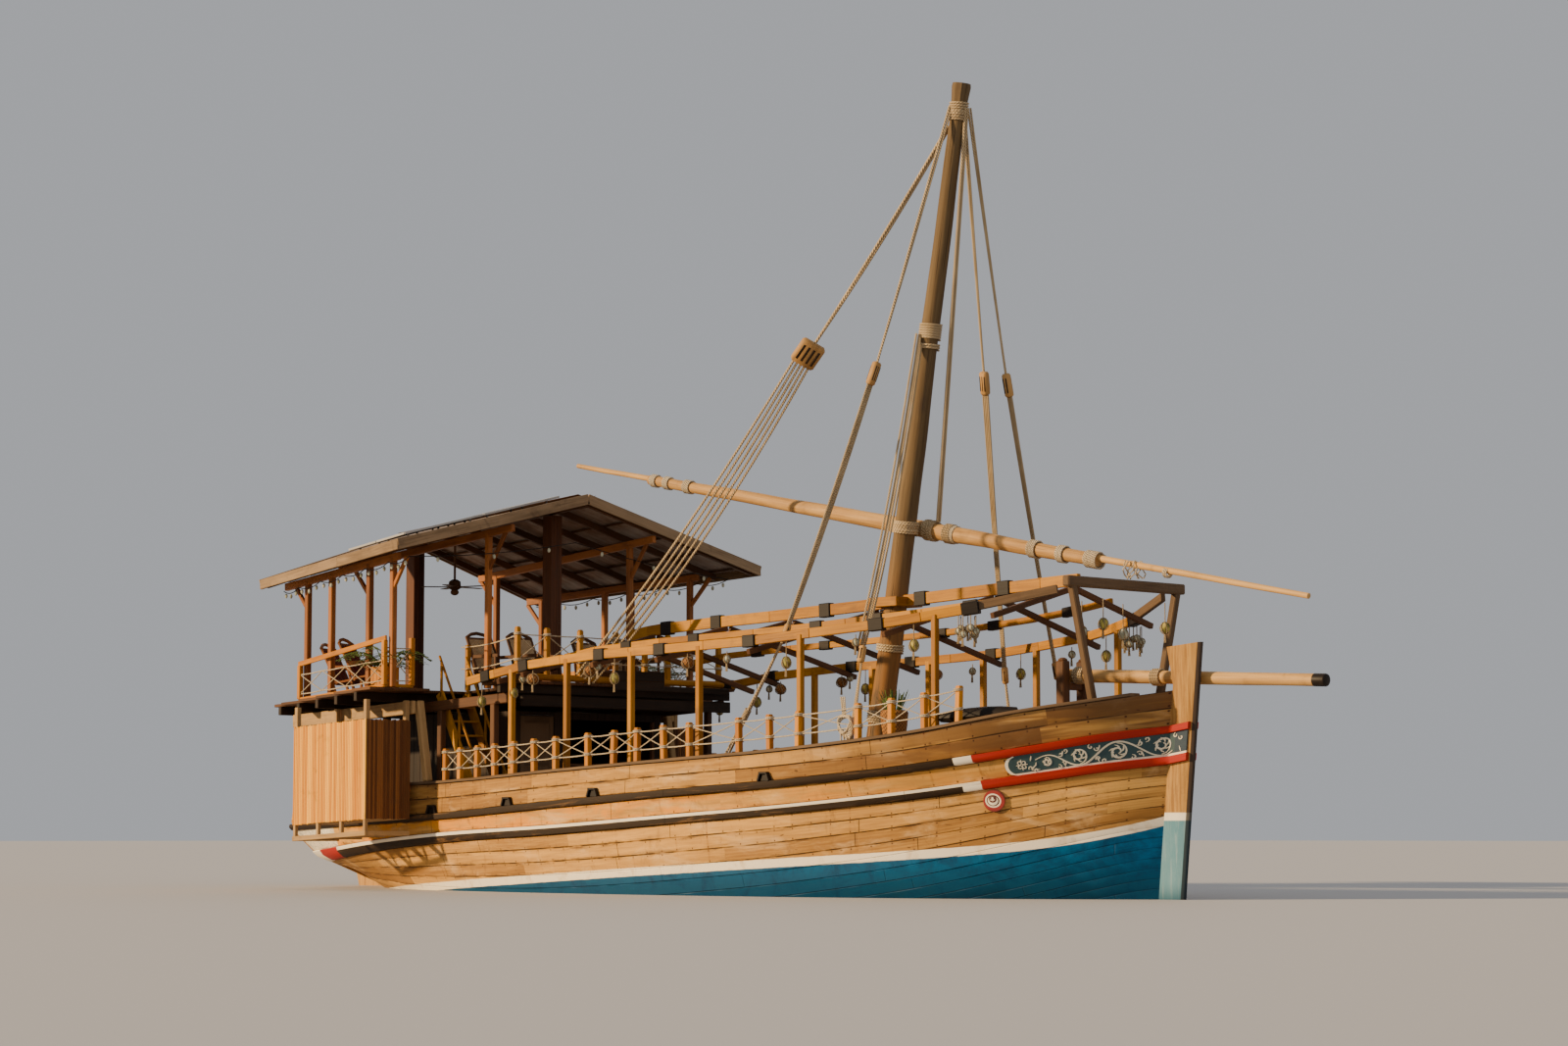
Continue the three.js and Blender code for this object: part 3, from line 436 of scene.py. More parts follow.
def map_grain(bm, faces, start, way):
    """Lays the grain map of one timber: metres along it and across it, plus its number's tens."""
    layer = bm.loops.layers.uv.verify()
    number = next(timber_numbers)
    for face in faces:
        face.normal_update()
        across = way.cross(face.normal)
        across = across.normalized() if across.length > 0.3 else way.orthogonal().normalized()
        for loop in face.loops:
            place = loop.vert.co - start
            loop[layer].uv = (place.dot(way), place.dot(across) + 10 * number)


def beam(bm, a, b, wide, high, soft=0.01, up=(0, 0, 1), over=0.0):
    """A sawn timber with softened edges from a to b, and over past them."""
    a, b = Vector(a), Vector(b)
    way = (b - a).normalized()
    side = Vector(up).cross(way)
    side = side.normalized() if side.length > 0.05 else Vector((0, 1, 0))
    turn = Matrix((way, side, way.cross(side))).transposed().to_4x4()
    size = Matrix.Diagonal(((b - a).length + 2 * over, wide, high, 1))
    place = Matrix.Translation((a + b) / 2) @ turn @ size
    made = bmesh.ops.create_cube(bm, size=1, matrix=place)["verts"]
    if soft:
        edges = list({edge for vert in made for edge in vert.link_edges})
        made = bmesh.ops.bevel(bm, geom=edges, offset=soft, affect="EDGES", segments=1,
                               profile=0.5, material=-1)["verts"]
    map_grain(bm, {face for vert in made for face in vert.link_faces}, a, way)


def tube(bm, points, radii, sides=8, wobble=0.0, rope=False):
    """A round bar or rope with closed ends through points; radii is one number or one a point."""
    points = [Vector(point) for point in points]
    if not isinstance(radii, (list, tuple)):
        radii = [radii] * len(points)
    number = next(timber_numbers)
    last = len(points) - 1
    reach = [0.0]
    for a, b in zip(points, points[1:]):
        reach.append(reach[-1] + (b - a).length)
    side = (points[1] - points[0]).orthogonal()
    rings = []
    for k, point in enumerate(points):
        way = (points[min(k + 1, last)] - points[max(k - 1, 0)]).normalized()
        side = (side - way * side.dot(way)).normalized()
        top = way.cross(side)
        ring = []
        for j in range(sides):
            turn = math.tau * j / sides
            bump = noise.noise(Vector((reach[k] * 1.3, math.cos(turn), math.sin(turn) + number)))
            r = radii[k] * (1 + wobble * bump)
            ring.append(point + side * math.cos(turn) * r + top * math.sin(turn) * r)
        rings.append(ring)
    if rope:
        sweep(bm, rings, lambda k, j: (reach[k] / radii[0], j / sides))
    else:
        girth = math.tau * max(radii) / sides
        sweep(bm, rings, lambda k, j: (reach[k], j * girth + 10 * number))


def post(bm, foot, top, wide, deep, soft=0.01):
    """A beam that stands, wide across the boat and deep along it."""
    beam(bm, foot, top, wide, deep, soft, up=(1, 0, 0))


def up_by(z):
    return Vector((0, 0, z))


def slack(a, b, sag, count=8):
    """Points on a line that hangs from a to b."""
    a, b = Vector(a), Vector(b)
    parts = [k / count for k in range(count + 1)]
    return [a.lerp(b, part) - up_by(4 * sag * part * (1 - part)) for part in parts]


def lashing(bm, at, way, radius, turns, r=0.014):
    """Turns of rope round a spar."""
    way = Vector(way).normalized()
    side = way.orthogonal().normalized()
    top = way.cross(side)
    count = turns * 12
    points = []
    for k in range(count + 1):
        angle = math.tau * k / 12
        along = (k / count - 0.5) * turns * r * 2.1
        out = side * math.cos(angle) + top * math.sin(angle)
        points.append(Vector(at) + way * along + out * (radius + r * 0.8))
    tube(bm, points, r, 6, rope=True)


def ball(bm, at, size, sides=12):
    """An upright ball, size across in x, y and z."""
    place = Matrix.Translation(Vector(at)) @ Matrix.Diagonal((*size, 1))
    made = bmesh.ops.create_uvsphere(bm, u_segments=sides, v_segments=max(6, sides * 2 // 3), radius=0.5,
                                     matrix=place)["verts"]
    map_grain(bm, {face for vert in made for face in vert.link_faces}, Vector(at), Vector((0, 0, 1)))


# The stage: floor, lights and camera


def stage():
    bm = bmesh.new()
    bmesh.ops.create_grid(bm, x_segments=1, y_segments=1, size=400)
    mesh = bpy.data.meshes.new("floor")
    bm.to_mesh(mesh)
    bm.free()
    floor = bpy.data.objects.new("floor", mesh)
    scene.collection.objects.link(floor)
    f = Finish("floor_paint")
    mesh.materials.append(f.paint((0.43, 0.43, 0.44), 0.9))

    world = bpy.data.worlds.new("studio")
    world.use_nodes = True
    background = world.node_tree.nodes["Background"]
    background.inputs["Color"].default_value = (0.66, 0.68, 0.72, 1)
    background.inputs["Strength"].default_value = 0.62
    scene.world = world

    lights = (
        ("low_key_light", (-0.55, -0.88, 0.33), 7.4, 2.5, (1.0, 0.72, 0.40)),
        ("fill_light", (0.9, -0.5, 0.45), 0.3, 50, (1.0, 0.90, 0.76)),
        ("back_light", (-0.6, 0.8, 0.6), 0.35, 40, (1.0, 0.86, 0.7)),
    )
    for name, toward, power, spread, colour in lights:
        light = bpy.data.lights.new(name, "SUN")
        light.energy = power
        light.angle = math.radians(spread)
        light.color = colour
        lamp = bpy.data.objects.new(name, light)
        lamp.rotation_euler = (-Vector(toward)).to_track_quat("-Z", "Y").to_euler()
        scene.collection.objects.link(lamp)

    lens = bpy.data.cameras.new("camera")
    lens.lens = CAMERA_LENS
    lens.sensor_width = 36
    lens.clip_end = 2000
    camera = bpy.data.objects.new("camera", lens)
    camera.location = CAMERA_AT
    aim = CAMERA_HEADING.normalized() * math.cos(CAMERA_PITCH) + up_by(math.sin(CAMERA_PITCH))
    camera.rotation_euler = aim.to_track_quat("-Z", "Y").to_euler()
    scene.collection.objects.link(camera)
    scene.camera = camera


stage()

# Finishes

ORANGE = timber("oiled_orange_timber", (0.50, 0.222, 0.008), (0.23, 0.085, 0.004), 0.5)
YELLOW = timber("yellow_post_timber", (0.62, 0.25, 0.014), (0.34, 0.115, 0.008), 0.5)
# Dark brown timber; on the awning rafters it is partly painted shade.
BROWN = timber("dark_brown_timber", (0.13, 0.055, 0.020), (0.045, 0.019, 0.008), 0.6)
# Near black boards; on the cabin, the upper deck's joists and in the pulley mouths this is also painted
# shade.
DARK = timber("black_brown_boards", (0.036, 0.020, 0.011), (0.012, 0.007, 0.004), 0.6)
PALE = timber("pale_weathered_timber", (0.50, 0.32, 0.14), (0.26, 0.15, 0.06), 0.7)
GREY = timber("grey_weathered_timber", (0.16, 0.10, 0.055), (0.07, 0.042, 0.022), 0.75)


def node_timber(name, pale, deep, grain, board=0.0, paint_line=None, rough=0.65):
    """Timber that runs along one of the boat's axes, as boards of one width, painted blue under a height."""
    f = Finish(name)
    x, y, z = f.parts(f.point())
    stretch = [1.3 if axis == grain else 26 for axis in range(3)]
    fine = f.noise(f.vector(x * stretch[0], y * stretch[1], z * stretch[2]), 1.0, 5, 0.6, 0.4)
    split = f.noise(f.vector(x * stretch[0] * 0.6, y * stretch[1] * 0.8, z * stretch[2] * 0.8), 1.0, 2, 0.4)
    crack = split.smooth(0.67, 0.75)
    worn = f.noise(f.point(), 2.4, 5, 0.65, 0.5)
    colour = f.mix(fine.smooth(0.25, 0.75), deep, pale)
    height = fine * 0.3 - crack
    if board:
        row = z / board
        seam = abs(row.fract() - 0.5).smooth(0.47, 0.49)
        tone = f.chance(f.vector(row.floor(), 0, 0))
        colour = f.mix(tone * 0.45, colour, deep)
        colour = f.mix(seam * 0.85, colour, (0.05, 0.025, 0.012))
        height = height - seam * 1.5
    colour = f.mix(worn.smooth(0.5, 0.75) * 0.45, colour, tuple(0.5 * shade for shade in deep))
    colour = f.mix(crack * 0.7, colour, (0.04, 0.022, 0.012))
    if paint_line is not None:
        white = 1 - (z - paint_line - 0.1).smooth(-0.008, 0.008)
        below = 1 - (z - paint_line).smooth(-0.008, 0.008)
        white_paint = f.mix(worn.smooth(0.5, 0.7) * 0.4, (0.80, 0.73, 0.58), (0.45, 0.3, 0.16))
        colour = f.mix(white, colour, white_paint)
        colour = f.mix(below, colour, f.mix(worn, (0.0, 0.030, 0.062), (0.0, 0.135, 0.225)))
    return f.paint(colour, fine * 0.2 + (rough - 0.1), height, 0.004, shine=WOOD_SHINE)


HONEY = ((0.66, 0.34, 0.06), (0.34, 0.14, 0.022))
TEAK = ((0.50, 0.28, 0.08), (0.22, 0.10, 0.03))
ALONG, ACROSS, UPRIGHT = range(3)
STERN_WOODS = {
    "transom": node_timber("transom_planks", *HONEY, ACROSS, board=0.21),
    "stern_post": node_timber("stern_post_timber", *TEAK, UPRIGHT, paint_line=-0.2),
    "rudder": node_timber("rudder_planks", (0.54, 0.30, 0.08), (0.26, 0.12, 0.03), UPRIGHT,
                          paint_line=-0.2),
    "tiller": node_timber("tiller_timber", (0.50, 0.30, 0.11), (0.24, 0.12, 0.04), ALONG),
    "keel": node_timber("keel_timber", *TEAK, ALONG, paint_line=1.0),
}


def paint_nodes():
    """A finish for each node of the construction, from its slot's colour where it has none of its own."""
    record = frame["record"]
    for slot in record["materials"]:
        shade = slot["base_color"][:3]
        plain = node_timber("plain_" + slot["slot"], shade, tuple(0.5 * v for v in shade), ALONG)
        for part in record["subparts"]:
            if part["material_slot"] == slot["slot"]:
                mesh = frame["nodes"][part["node"]].data
                mesh.materials.clear()
                mesh.materials.append(STERN_WOODS.get(part["node"], plain))


paint_nodes()

# Hull planking


BOOT_HEIGHT, BOOT_SLOPE, BOOT_RISE = 0.85, 0.052, 0.5
BOOT_HALF = 0.068
PLANK_LONG = 5.2
FRAME_SPACING = 0.36


def boot_top(x):
    """Height of the white line's middle over the water, as the paint was laid."""
    back = BOW_X - x
    return BOOT_HEIGHT - back * BOOT_SLOPE + (back * -1.0).exp() * BOOT_RISE


def hull_finish():
    f = Finish("painted_hull_planks")
    x, y, z = f.parts(f.point())
    along, row, _ = f.mapped()
    strake = row.floor()
    across = row.fract()
    length = (along + f.chance(f.vector(strake, 3, 0)) * 9) / PLANK_LONG
    plank = length.floor()
    tone = f.chance(f.vector(strake, plank, 1))
    fine = f.noise(f.vector(along * 1.3, row * 7, plank * 2.3), 1.0, 6, 0.62, 0.5)
    broad = f.noise(f.vector(along * 0.45, row * 1.1, tone * 4), 1.0, 4, 0.6, 1.0)
    wood = f.mix((fine * 0.6 + broad * 0.5 + tone * 0.45 - 0.28).smooth(0.1, 0.9),
                 (0.23, 0.105, 0.024), (0.70, 0.385, 0.10))
    pale = f.noise(f.vector(x * 0.6, y, z * 2.2), 1.3, 4, 0.65, 0.5).smooth(0.5, 0.75)
    wood = f.mix(pale * 0.6, wood, (0.70, 0.47, 0.23))
    gold = f.noise(f.vector(x * 0.5, y, z * 2.4), 1.4, 5, 0.65, 0.7).smooth(0.40, 0.62)
    near_wales = (1 - abs(row - 3.9).smooth(0.3, 1.5)).most(1 - abs(row - 2.9).smooth(0.4, 0.9))
    gold = gold * near_wales * (1 - x.smooth(0.0, 8.5) * 0.7)
    wood = f.mix(gold * 0.8, wood, (0.74, 0.27, 0.006))
    grime = f.noise(f.vector(along * 1.1, row * 3.1, 7), 1.0, 5, 0.7, 0.6).smooth(0.47, 0.66)
    wood = f.mix(grime * (abs(across - 0.5) * 2).smooth(0.25, 1.0) * 0.85, wood, (0.085, 0.034, 0.010))
    smudge = (1 - (row - 4.0).smooth(0.1, 0.9)) * (row > 4) * broad.smooth(0.3, 0.6)
    wood = f.mix(smudge * 0.55, wood, (0.10, 0.042, 0.012))
    brown = x.smooth(2.0, 9.0) * (1 - row.smooth(1.7, 2.2)) * broad.smooth(0.25, 0.55)
    wood = f.mix(brown * 0.9, wood, (0.12, 0.055, 0.02))
    edge_wear = (1 - row.smooth(0.0, 0.35)) * fine.smooth(0.4, 0.6)
    wood = f.mix(edge_wear * 0.7, wood, (0.20, 0.12, 0.06))
    wash = f.noise(f.vector(x * 1.6, y * 0.3, z * 0.7), 2.6, 6, 0.72, 0.5).smooth(0.54, 0.72)
    wood = f.mix(wash * 0.5, wood, (0.16, 0.075, 0.025))
    knot = f.noise(f.vector(x * 2.0, y, z * 5), 2.2, 2, 0.5, 0.2).smooth(0.72, 0.78)
    wood = f.mix(knot * 0.75, wood, (0.06, 0.025, 0.012))

    seam = (abs(across - 0.5) * 2 - 0.87).smooth(0.0, 0.1)
    seam = seam * (f.noise(f.vector(along * 2.2, row * 0.7, 4), 1.0, 3).smooth(0.36, 0.56) * 0.85 + 0.15)
    butt = 1 - abs(length.fract() - 0.5).smooth(0.0, 0.0018)
    line = seam.most(butt)
    wood = f.mix(line * 0.9, wood, (0.03, 0.014, 0.007))

    frame_at = along / FRAME_SPACING
    spot_x = (frame_at.fract() - 0.5) * FRAME_SPACING
    spot_z = (abs(across - 0.5) - 0.36) * 0.2
    spot = 1 - (spot_x * spot_x + spot_z * spot_z).power(0.5).smooth(0.007, 0.016)
    kept = f.chance(f.vector(frame_at.floor(), strake, 5)).smooth(0.2, 0.5)
    streak = 1 - abs(spot_x).smooth(0.005, 0.03)
    streak = streak * f.noise(f.vector(x * 9, y, z * 2), 1.0, 3).smooth(0.5, 0.75)
    wood = f.mix(spot * kept * 0.9, wood, (0.04, 0.014, 0.008))
    wood = f.mix(streak * kept * 0.45, wood, (0.17, 0.055, 0.015))

    scuff = f.noise(f.vector(x * 1.1, y * 0.2, z * 0.9), 2.4, 6, 0.75, 0.6)
    chipped = scuff.smooth(0.52, 0.7) * 0.5
    white = f.mix(chipped, (0.84, 0.76, 0.60), (0.42, 0.27, 0.13))
    curl = f.noise(f.vector(x * 6, y, z * 9), 1.6, 2, 0.5, 2.5)
    crest = 1 - abs(curl - 0.5).smooth(0.02, 0.06)
    quarter = f.mix(crest * 0.6, white, (0.10, 0.16, 0.17))
    on_quarter = (1 - (x - QUARTER).smooth(-0.01, 0.01)) * (row - 3.0).smooth(0.0, 0.05) * (row < 4)
    wood = f.mix(on_quarter * 0.95, wood, quarter)

    edge = f.noise(f.vector(x * 2, y, z * 3), 2.0, 4, 0.7)
    line_z = boot_top(x)
    below = 1 - (z - line_z + BOOT_HALF + (edge - 0.5) * 0.02).smooth(-0.006, 0.006)
    band = (1 - (z - line_z - BOOT_HALF + (edge - 0.5) * 0.02).smooth(-0.006, 0.006)) * (1 - below)
    blue = f.mix(scuff.smooth(0.25, 0.75), (0.0, 0.030, 0.085), (0.0, 0.115, 0.27))
    blue = f.mix(fine.smooth(0.55, 0.75) * 0.3, blue, (0.0, 0.19, 0.36))
    blue = f.mix(scuff.smooth(0.70, 0.75) * 0.8, blue, (0.12, 0.05, 0.03))
    blue = f.mix(line * 0.45, blue, (0.001, 0.02, 0.04))
    wet = 1 - (z - 0.25 - x * 0.015).smooth(-0.3, 0.45)
    blue = f.mix(wet * (scuff.smooth(0.3, 0.7) * 0.5 + 0.3), blue, (0.001, 0.03, 0.055))
    colour = f.mix(band * 0.95, f.mix(below, wood, blue), white)
    rough = 0.66 + fine * 0.25 - below * 0.2
    height = fine * 0.3 - line * 1.5 - spot * kept * 0.4 - wash * 0.15
    return f.paint(colour, rough, height, 0.004, shine=WOOD_SHINE)


ROWS_ABOVE = 2
ROWS_BETWEEN = 1
ROWS_BELOW = 20
HULL_COLUMNS = 150
HULL_MAP_LONG = 20
DECK_COLUMNS = 90
QUARTER = aft(18.15)
GROOVE_DEPTH = 0.009
GROOVE_HALF = 0.06


def strake_place(s, row):
    """(y, z) of the side at a station, row counted in strakes from the bulwark top down."""
    top, high, low = s["z_top"], s["z_high"], s["z_low"]
    slim, deep = wale_half(s, "z_high"), wale_half(s, "z_low")
    bands = (
        (ROWS_ABOVE, top, high + slim),
        (1, high + slim, high - slim),
        (ROWS_BETWEEN, high - slim, low + deep),
        (1, low + deep, low - deep),
    )
    for count, z0, z1 in bands:
        if row <= count:
            z = lerp(z0, z1, row / count)
            return side_breadth(s, z), z
        row -= count
    return bottom_curve(s, row / ROWS_BELOW)


def half_hull(side):
    """One side's planking, closed over the rail, the bulwark's inside and the middle of the boat."""
    strakes = ROWS_ABOVE + 1 + ROWS_BETWEEN + 1 + ROWS_BELOW
    stops = [0.0]
    for k in range(strakes):
        stops += [k + GROOVE_HALF, k + 1 - GROOVE_HALF, k + 1.0]
    inside = ("keel", "middle", "edge", "lower", "upper", "rail")
    marks = stops + [strakes + more for more in (0.1, 0.2, 1, 2, 3, 4, 5)]
    rings = []
    for k in range(HULL_COLUMNS + 1):
        s = station(k / HULL_COLUMNS)
        t = s["t"]
        fade = min(1, (1 - t) * 12, t * 30)
        ring = []
        for row in stops:
            y, z = strake_place(s, row)
            seam = abs(row - round(row)) < 1e-6
            wave = noise.noise(Vector((t * 14, math.floor(row + 0.5) * 3.1, side))) * 0.007
            ring.append(hull_point(t, side * (y + (-GROOVE_DEPTH if seam else wave) * fade), z))
        deck = deck_height(s)
        half = max(LEAST_HALF, deck_breadth(s))
        rail_half = max(LEAST_HALF, s["top"] - BULWARK)
        heights = {
            "keel": (0, lerp(KEEL_AFT[1], KEEL_FORE[1], t)),
            "middle": (0, deck - 0.01),
            "edge": (half, deck - 0.01),
            "lower": (lerp(half, rail_half, 1 / 3), lerp(deck, s["z_top"], 1 / 3)),
            "upper": (lerp(half, rail_half, 2 / 3), lerp(deck, s["z_top"], 2 / 3)),
            "rail": (rail_half, s["z_top"]),
        }
        ring += [hull_point(t, side * heights[name][0], heights[name][1]) for name in inside]
        rings.append(ring)
    bm = fresh()
    sweep(bm, rings, lambda k, j: (k / HULL_COLUMNS * HULL_MAP_LONG, marks[j] + 0.001))
    return bm


def deck_planks():
    """The main deck's planks, on the hull's own deck."""
    rings = []
    for k in range(DECK_COLUMNS + 1):
        t = lerp(0.004, 0.985, k / DECK_COLUMNS)
        s = station(t)
        z = deck_height(s)
        half = max(0.05, deck_breadth(s) + 0.004)
        ring = [hull_point(t, half * part, z + 0.004) for part in (-1, -0.5, 0, 0.5, 1)]
        rings.append(ring + [point - up_by(0.012) for point in reversed(ring)])
    bm = fresh()
    sweep(bm, rings, lambda k, j: (k * 0.2, j * 0.3))
    return bm


DECK_PLANK_WIDE, DECK_PLANK_LONG = 0.14, 3.4


def deck_finish():
    """Narrow fore-and-aft planks with dark seams."""
    f = Finish("worn_deck_planks")
    x, y, z = f.parts(f.point())
    lane = y / DECK_PLANK_WIDE
    number = lane.floor()
    along = (x + f.chance(f.vector(number, 2, 0)) * 5) / DECK_PLANK_LONG
    tone = f.chance(f.vector(number, along.floor(), 7))
    grain = f.noise(f.vector(x * 1.5, y * 30, number), 1.0, 5, 0.6, 0.3)
    wear = f.noise(f.vector(x, y, z), 1.1, 5, 0.65, 0.5)
    shade = (grain * 0.5 + tone * 0.4 + wear * 0.4 - 0.15).smooth(0.1, 0.9)
    wood = f.mix(shade, (0.13, 0.085, 0.05), (0.36, 0.26, 0.17))
    seam = 1 - (lane.fract() * (1 - lane.fract())).smooth(0.0, 0.035)
    butt = 1 - abs(along.fract() - 0.5).smooth(0.0, 0.002)
    line = seam.most(butt)
    wood = f.mix(line * 0.85, wood, (0.03, 0.02, 0.014))
    return f.paint(wood, 0.75 + grain * 0.15, grain * 0.2 - line, 0.003)


HULL = hull_finish()
DECK = deck_finish()


def hull():
    for side, name in SIDES:
        stands_for = ("hull",) if side < 0 else ()
        keep("hull_planks_" + name, half_hull(side), HULL, replaces=stands_for, angle=24)
    keep("main_deck_planks", deck_planks(), DECK)


# Wales, bow panels and eyes

PAINT_BREAK = aft(2.66)
RED_FROM = aft(2.39)
NOSE_REACH = 0.36
WALE_RISE = 0.17
# Lifts the lower wale's map, to mark it for the white painted highlight on its upper third
HIGHLIGHT_LIFT = 10
STEM_NOSE = 0.05
STEM_TOP = 3.94
STEM_TAPER = (KEEL_HALF - STEM_NOSE) / STEM_DEPTH


def wale_finish():
    """Tarred aft, a white block near the bow, red forward; the lower one's upper third is white, a painted
    highlight for its sunlit top.
    """
    f = Finish("painted_wales")
    x, y, z = f.parts(f.point())
    along, across, _ = f.mapped()
    fine = f.noise(f.vector(along * 1.2, across * 3, y * 0.2), 1.0, 5, 0.62, 0.4)
    worn = f.noise(f.vector(along * 0.9, across * 0.8, z), 1.0, 5, 0.7, 0.5)
    tar = f.mix(fine, (0.008, 0.005, 0.003), (0.04, 0.022, 0.011))
    tar = f.mix(worn.smooth(0.55, 0.72) * 0.75, tar, (0.22, 0.11, 0.035))
    red = f.mix(worn, (0.26, 0.010, 0.006), (0.44, 0.024, 0.012))
    red = f.mix(worn.smooth(0.62, 0.75) * 0.5, red, (0.12, 0.035, 0.02))
    white = f.mix(worn.smooth(0.5, 0.75) * 0.45, (0.84, 0.77, 0.62), (0.36, 0.22, 0.11))
    # Painted highlight: the lower wale's upper third is painted white to stand for its sunlit top.
    painted_highlight = (across - HIGHLIGHT_LIFT).smooth(0.28, 0.36) * (across - HIGHLIGHT_LIFT < 2)
    colour = f.mix(painted_highlight * 0.97, tar, white)
    stern_end = 1 - (x - QUARTER).smooth(-0.01, 0.01)
    stern_paint = f.mix((x - QUARTER + 1.0).smooth(-0.01, 0.01), white, red)
    colour = f.mix(stern_end * (across > 5), colour, stern_paint)
    colour = f.mix((x - PAINT_BREAK).smooth(0.0, 0.01), colour, white)
    colour = f.mix((x - RED_FROM).smooth(0.0, 0.01), colour, red)
    butt = 1 - abs((along * 0.21).fract() - 0.5).smooth(0.0, 0.0018)
    colour = f.mix(butt * 0.7, colour, (0.01, 0.007, 0.005))
    return f.paint(colour, 0.5 + fine * 0.3, fine * 0.4 - butt, 0.004, shine=WOOD_SHINE)


# How far out of the hull, and the part of the wale's half depth
WALE_SECTION = ((-0.02, -1.0), (0.05, -1.0), (0.068, -0.87), (0.07, 0.0), (0.068, 0.87), (0.05, 1.0),
                (-0.02, 1.0))


def nose_rings(ring, side, reach, count=4):
    """Carries a ring of the last station forward over the tapering stem."""
    rings = []
    for k in range(1, count + 1):
        far = reach * k / count
        narrow = far * STEM_TAPER
        rings.append([point + Vector((far, -side * narrow, far * WALE_RISE)) for point in ring])
    return rings


def wale(side, height, painted_highlight):
    rings = []
    for k in range(HULL_COLUMNS + 1):
        s = station(k / HULL_COLUMNS)
        ring = []
        for out, part in WALE_SECTION:
            z = s[height] + part * wale_half(s, height)
            ring.append(hull_point(s["t"], side * (side_breadth(s, z) + out), z))
        rings.append(ring)
    rings += nose_rings(rings[-1], side, NOSE_REACH)
    bm = fresh()
    lift = HIGHLIGHT_LIFT if painted_highlight else 0
    marks = [part for _, part in WALE_SECTION] + [-1]
    sweep(bm, rings, lambda k, j: (k / HULL_COLUMNS * HULL_MAP_LONG, marks[j] + lift))
    return bm


PANEL_FROM = 0.909
PANEL_OUT = 0.03
PANEL_REACH = 0.33
PANEL_LONG = 2.83
PANEL_HIGH = 0.35
PANEL_END = 0.175
PANEL_PAST = 0.13


def panel_point(side, along, up, out):
    """A place on the bow panel: metres along it from its aft end and metres over its middle."""
    far = along / PANEL_LONG * (1 + PANEL_PAST)
    s = station(min(1, lerp(PANEL_FROM, 1, far)))
    low, high = s["z_low"] + wale_half(s, "z_low") + 0.003, s["z_high"] - wale_half(s, "z_high") - 0.003
    z = lerp(low, high, 0.5 + up / PANEL_HIGH)
    point = hull_point(s["t"], side * (side_breadth(s, z) + out), z)
    if far > 1:
        beyond = (far - 1) / PANEL_PAST * PANEL_REACH
        point += Vector((beyond, -side * beyond * STEM_TAPER, beyond * WALE_RISE))
    return point


def panel_finish():
    """Blue grey with a white crescent at its rounded end and a white line along its foot."""
    f = Finish("blue_bow_panel")
    along, up, _ = f.mapped()
    x, y, z = f.parts(f.point())
    worn = f.noise(f.vector(x * 1.2, y, z * 3), 2.0, 5, 0.7, 0.4)
    blue = f.mix(worn, (0.010, 0.035, 0.045), (0.030, 0.075, 0.085))
    blue = f.mix((along - 2.62).smooth(0.0, 0.01), blue, (0.008, 0.03, 0.055))
    blue = f.mix(worn.smooth(0.62, 0.78) * 0.5, blue, (0.10, 0.06, 0.03))
    aside = along - PANEL_END - 0.045
    moon = ((aside * aside + up * up).power(0.5) - PANEL_END + 0.015).smooth(-0.004, 0.004) * (along < 0.2)
    foot = 1 - (up + PANEL_HIGH / 2).smooth(0.026, 0.034)
    white = f.mix(worn.smooth(0.55, 0.72) * 0.4, (0.82, 0.76, 0.62), (0.34, 0.22, 0.12))
    return f.paint(f.mix(moon.most(foot), blue, white), 0.6 + worn * 0.2, worn * 0.5, 0.003)


def panel(side):
    """A board with a half-round aft end."""
    rings, places = [], []
    for k in range(61):
        ring, row = [], []
        for j in range(13):
            up = (j / 12 - 0.5) * PANEL_HIGH
            start = PANEL_END - math.sqrt(max(0, PANEL_END ** 2 - up * up))
            row.append((lerp(start, PANEL_LONG, k / 60), up))
            ring.append(panel_point(side, *row[-1], PANEL_OUT))
        row += [row[-1], row[0], row[0]]
        rings.append(ring + [panel_point(side, *row[-3], 0.006), panel_point(side, *row[-2], 0.006)])
        places.append(row)
    bm = fresh()
    sweep(bm, rings, lambda k, j: places[k][j])
    return bm


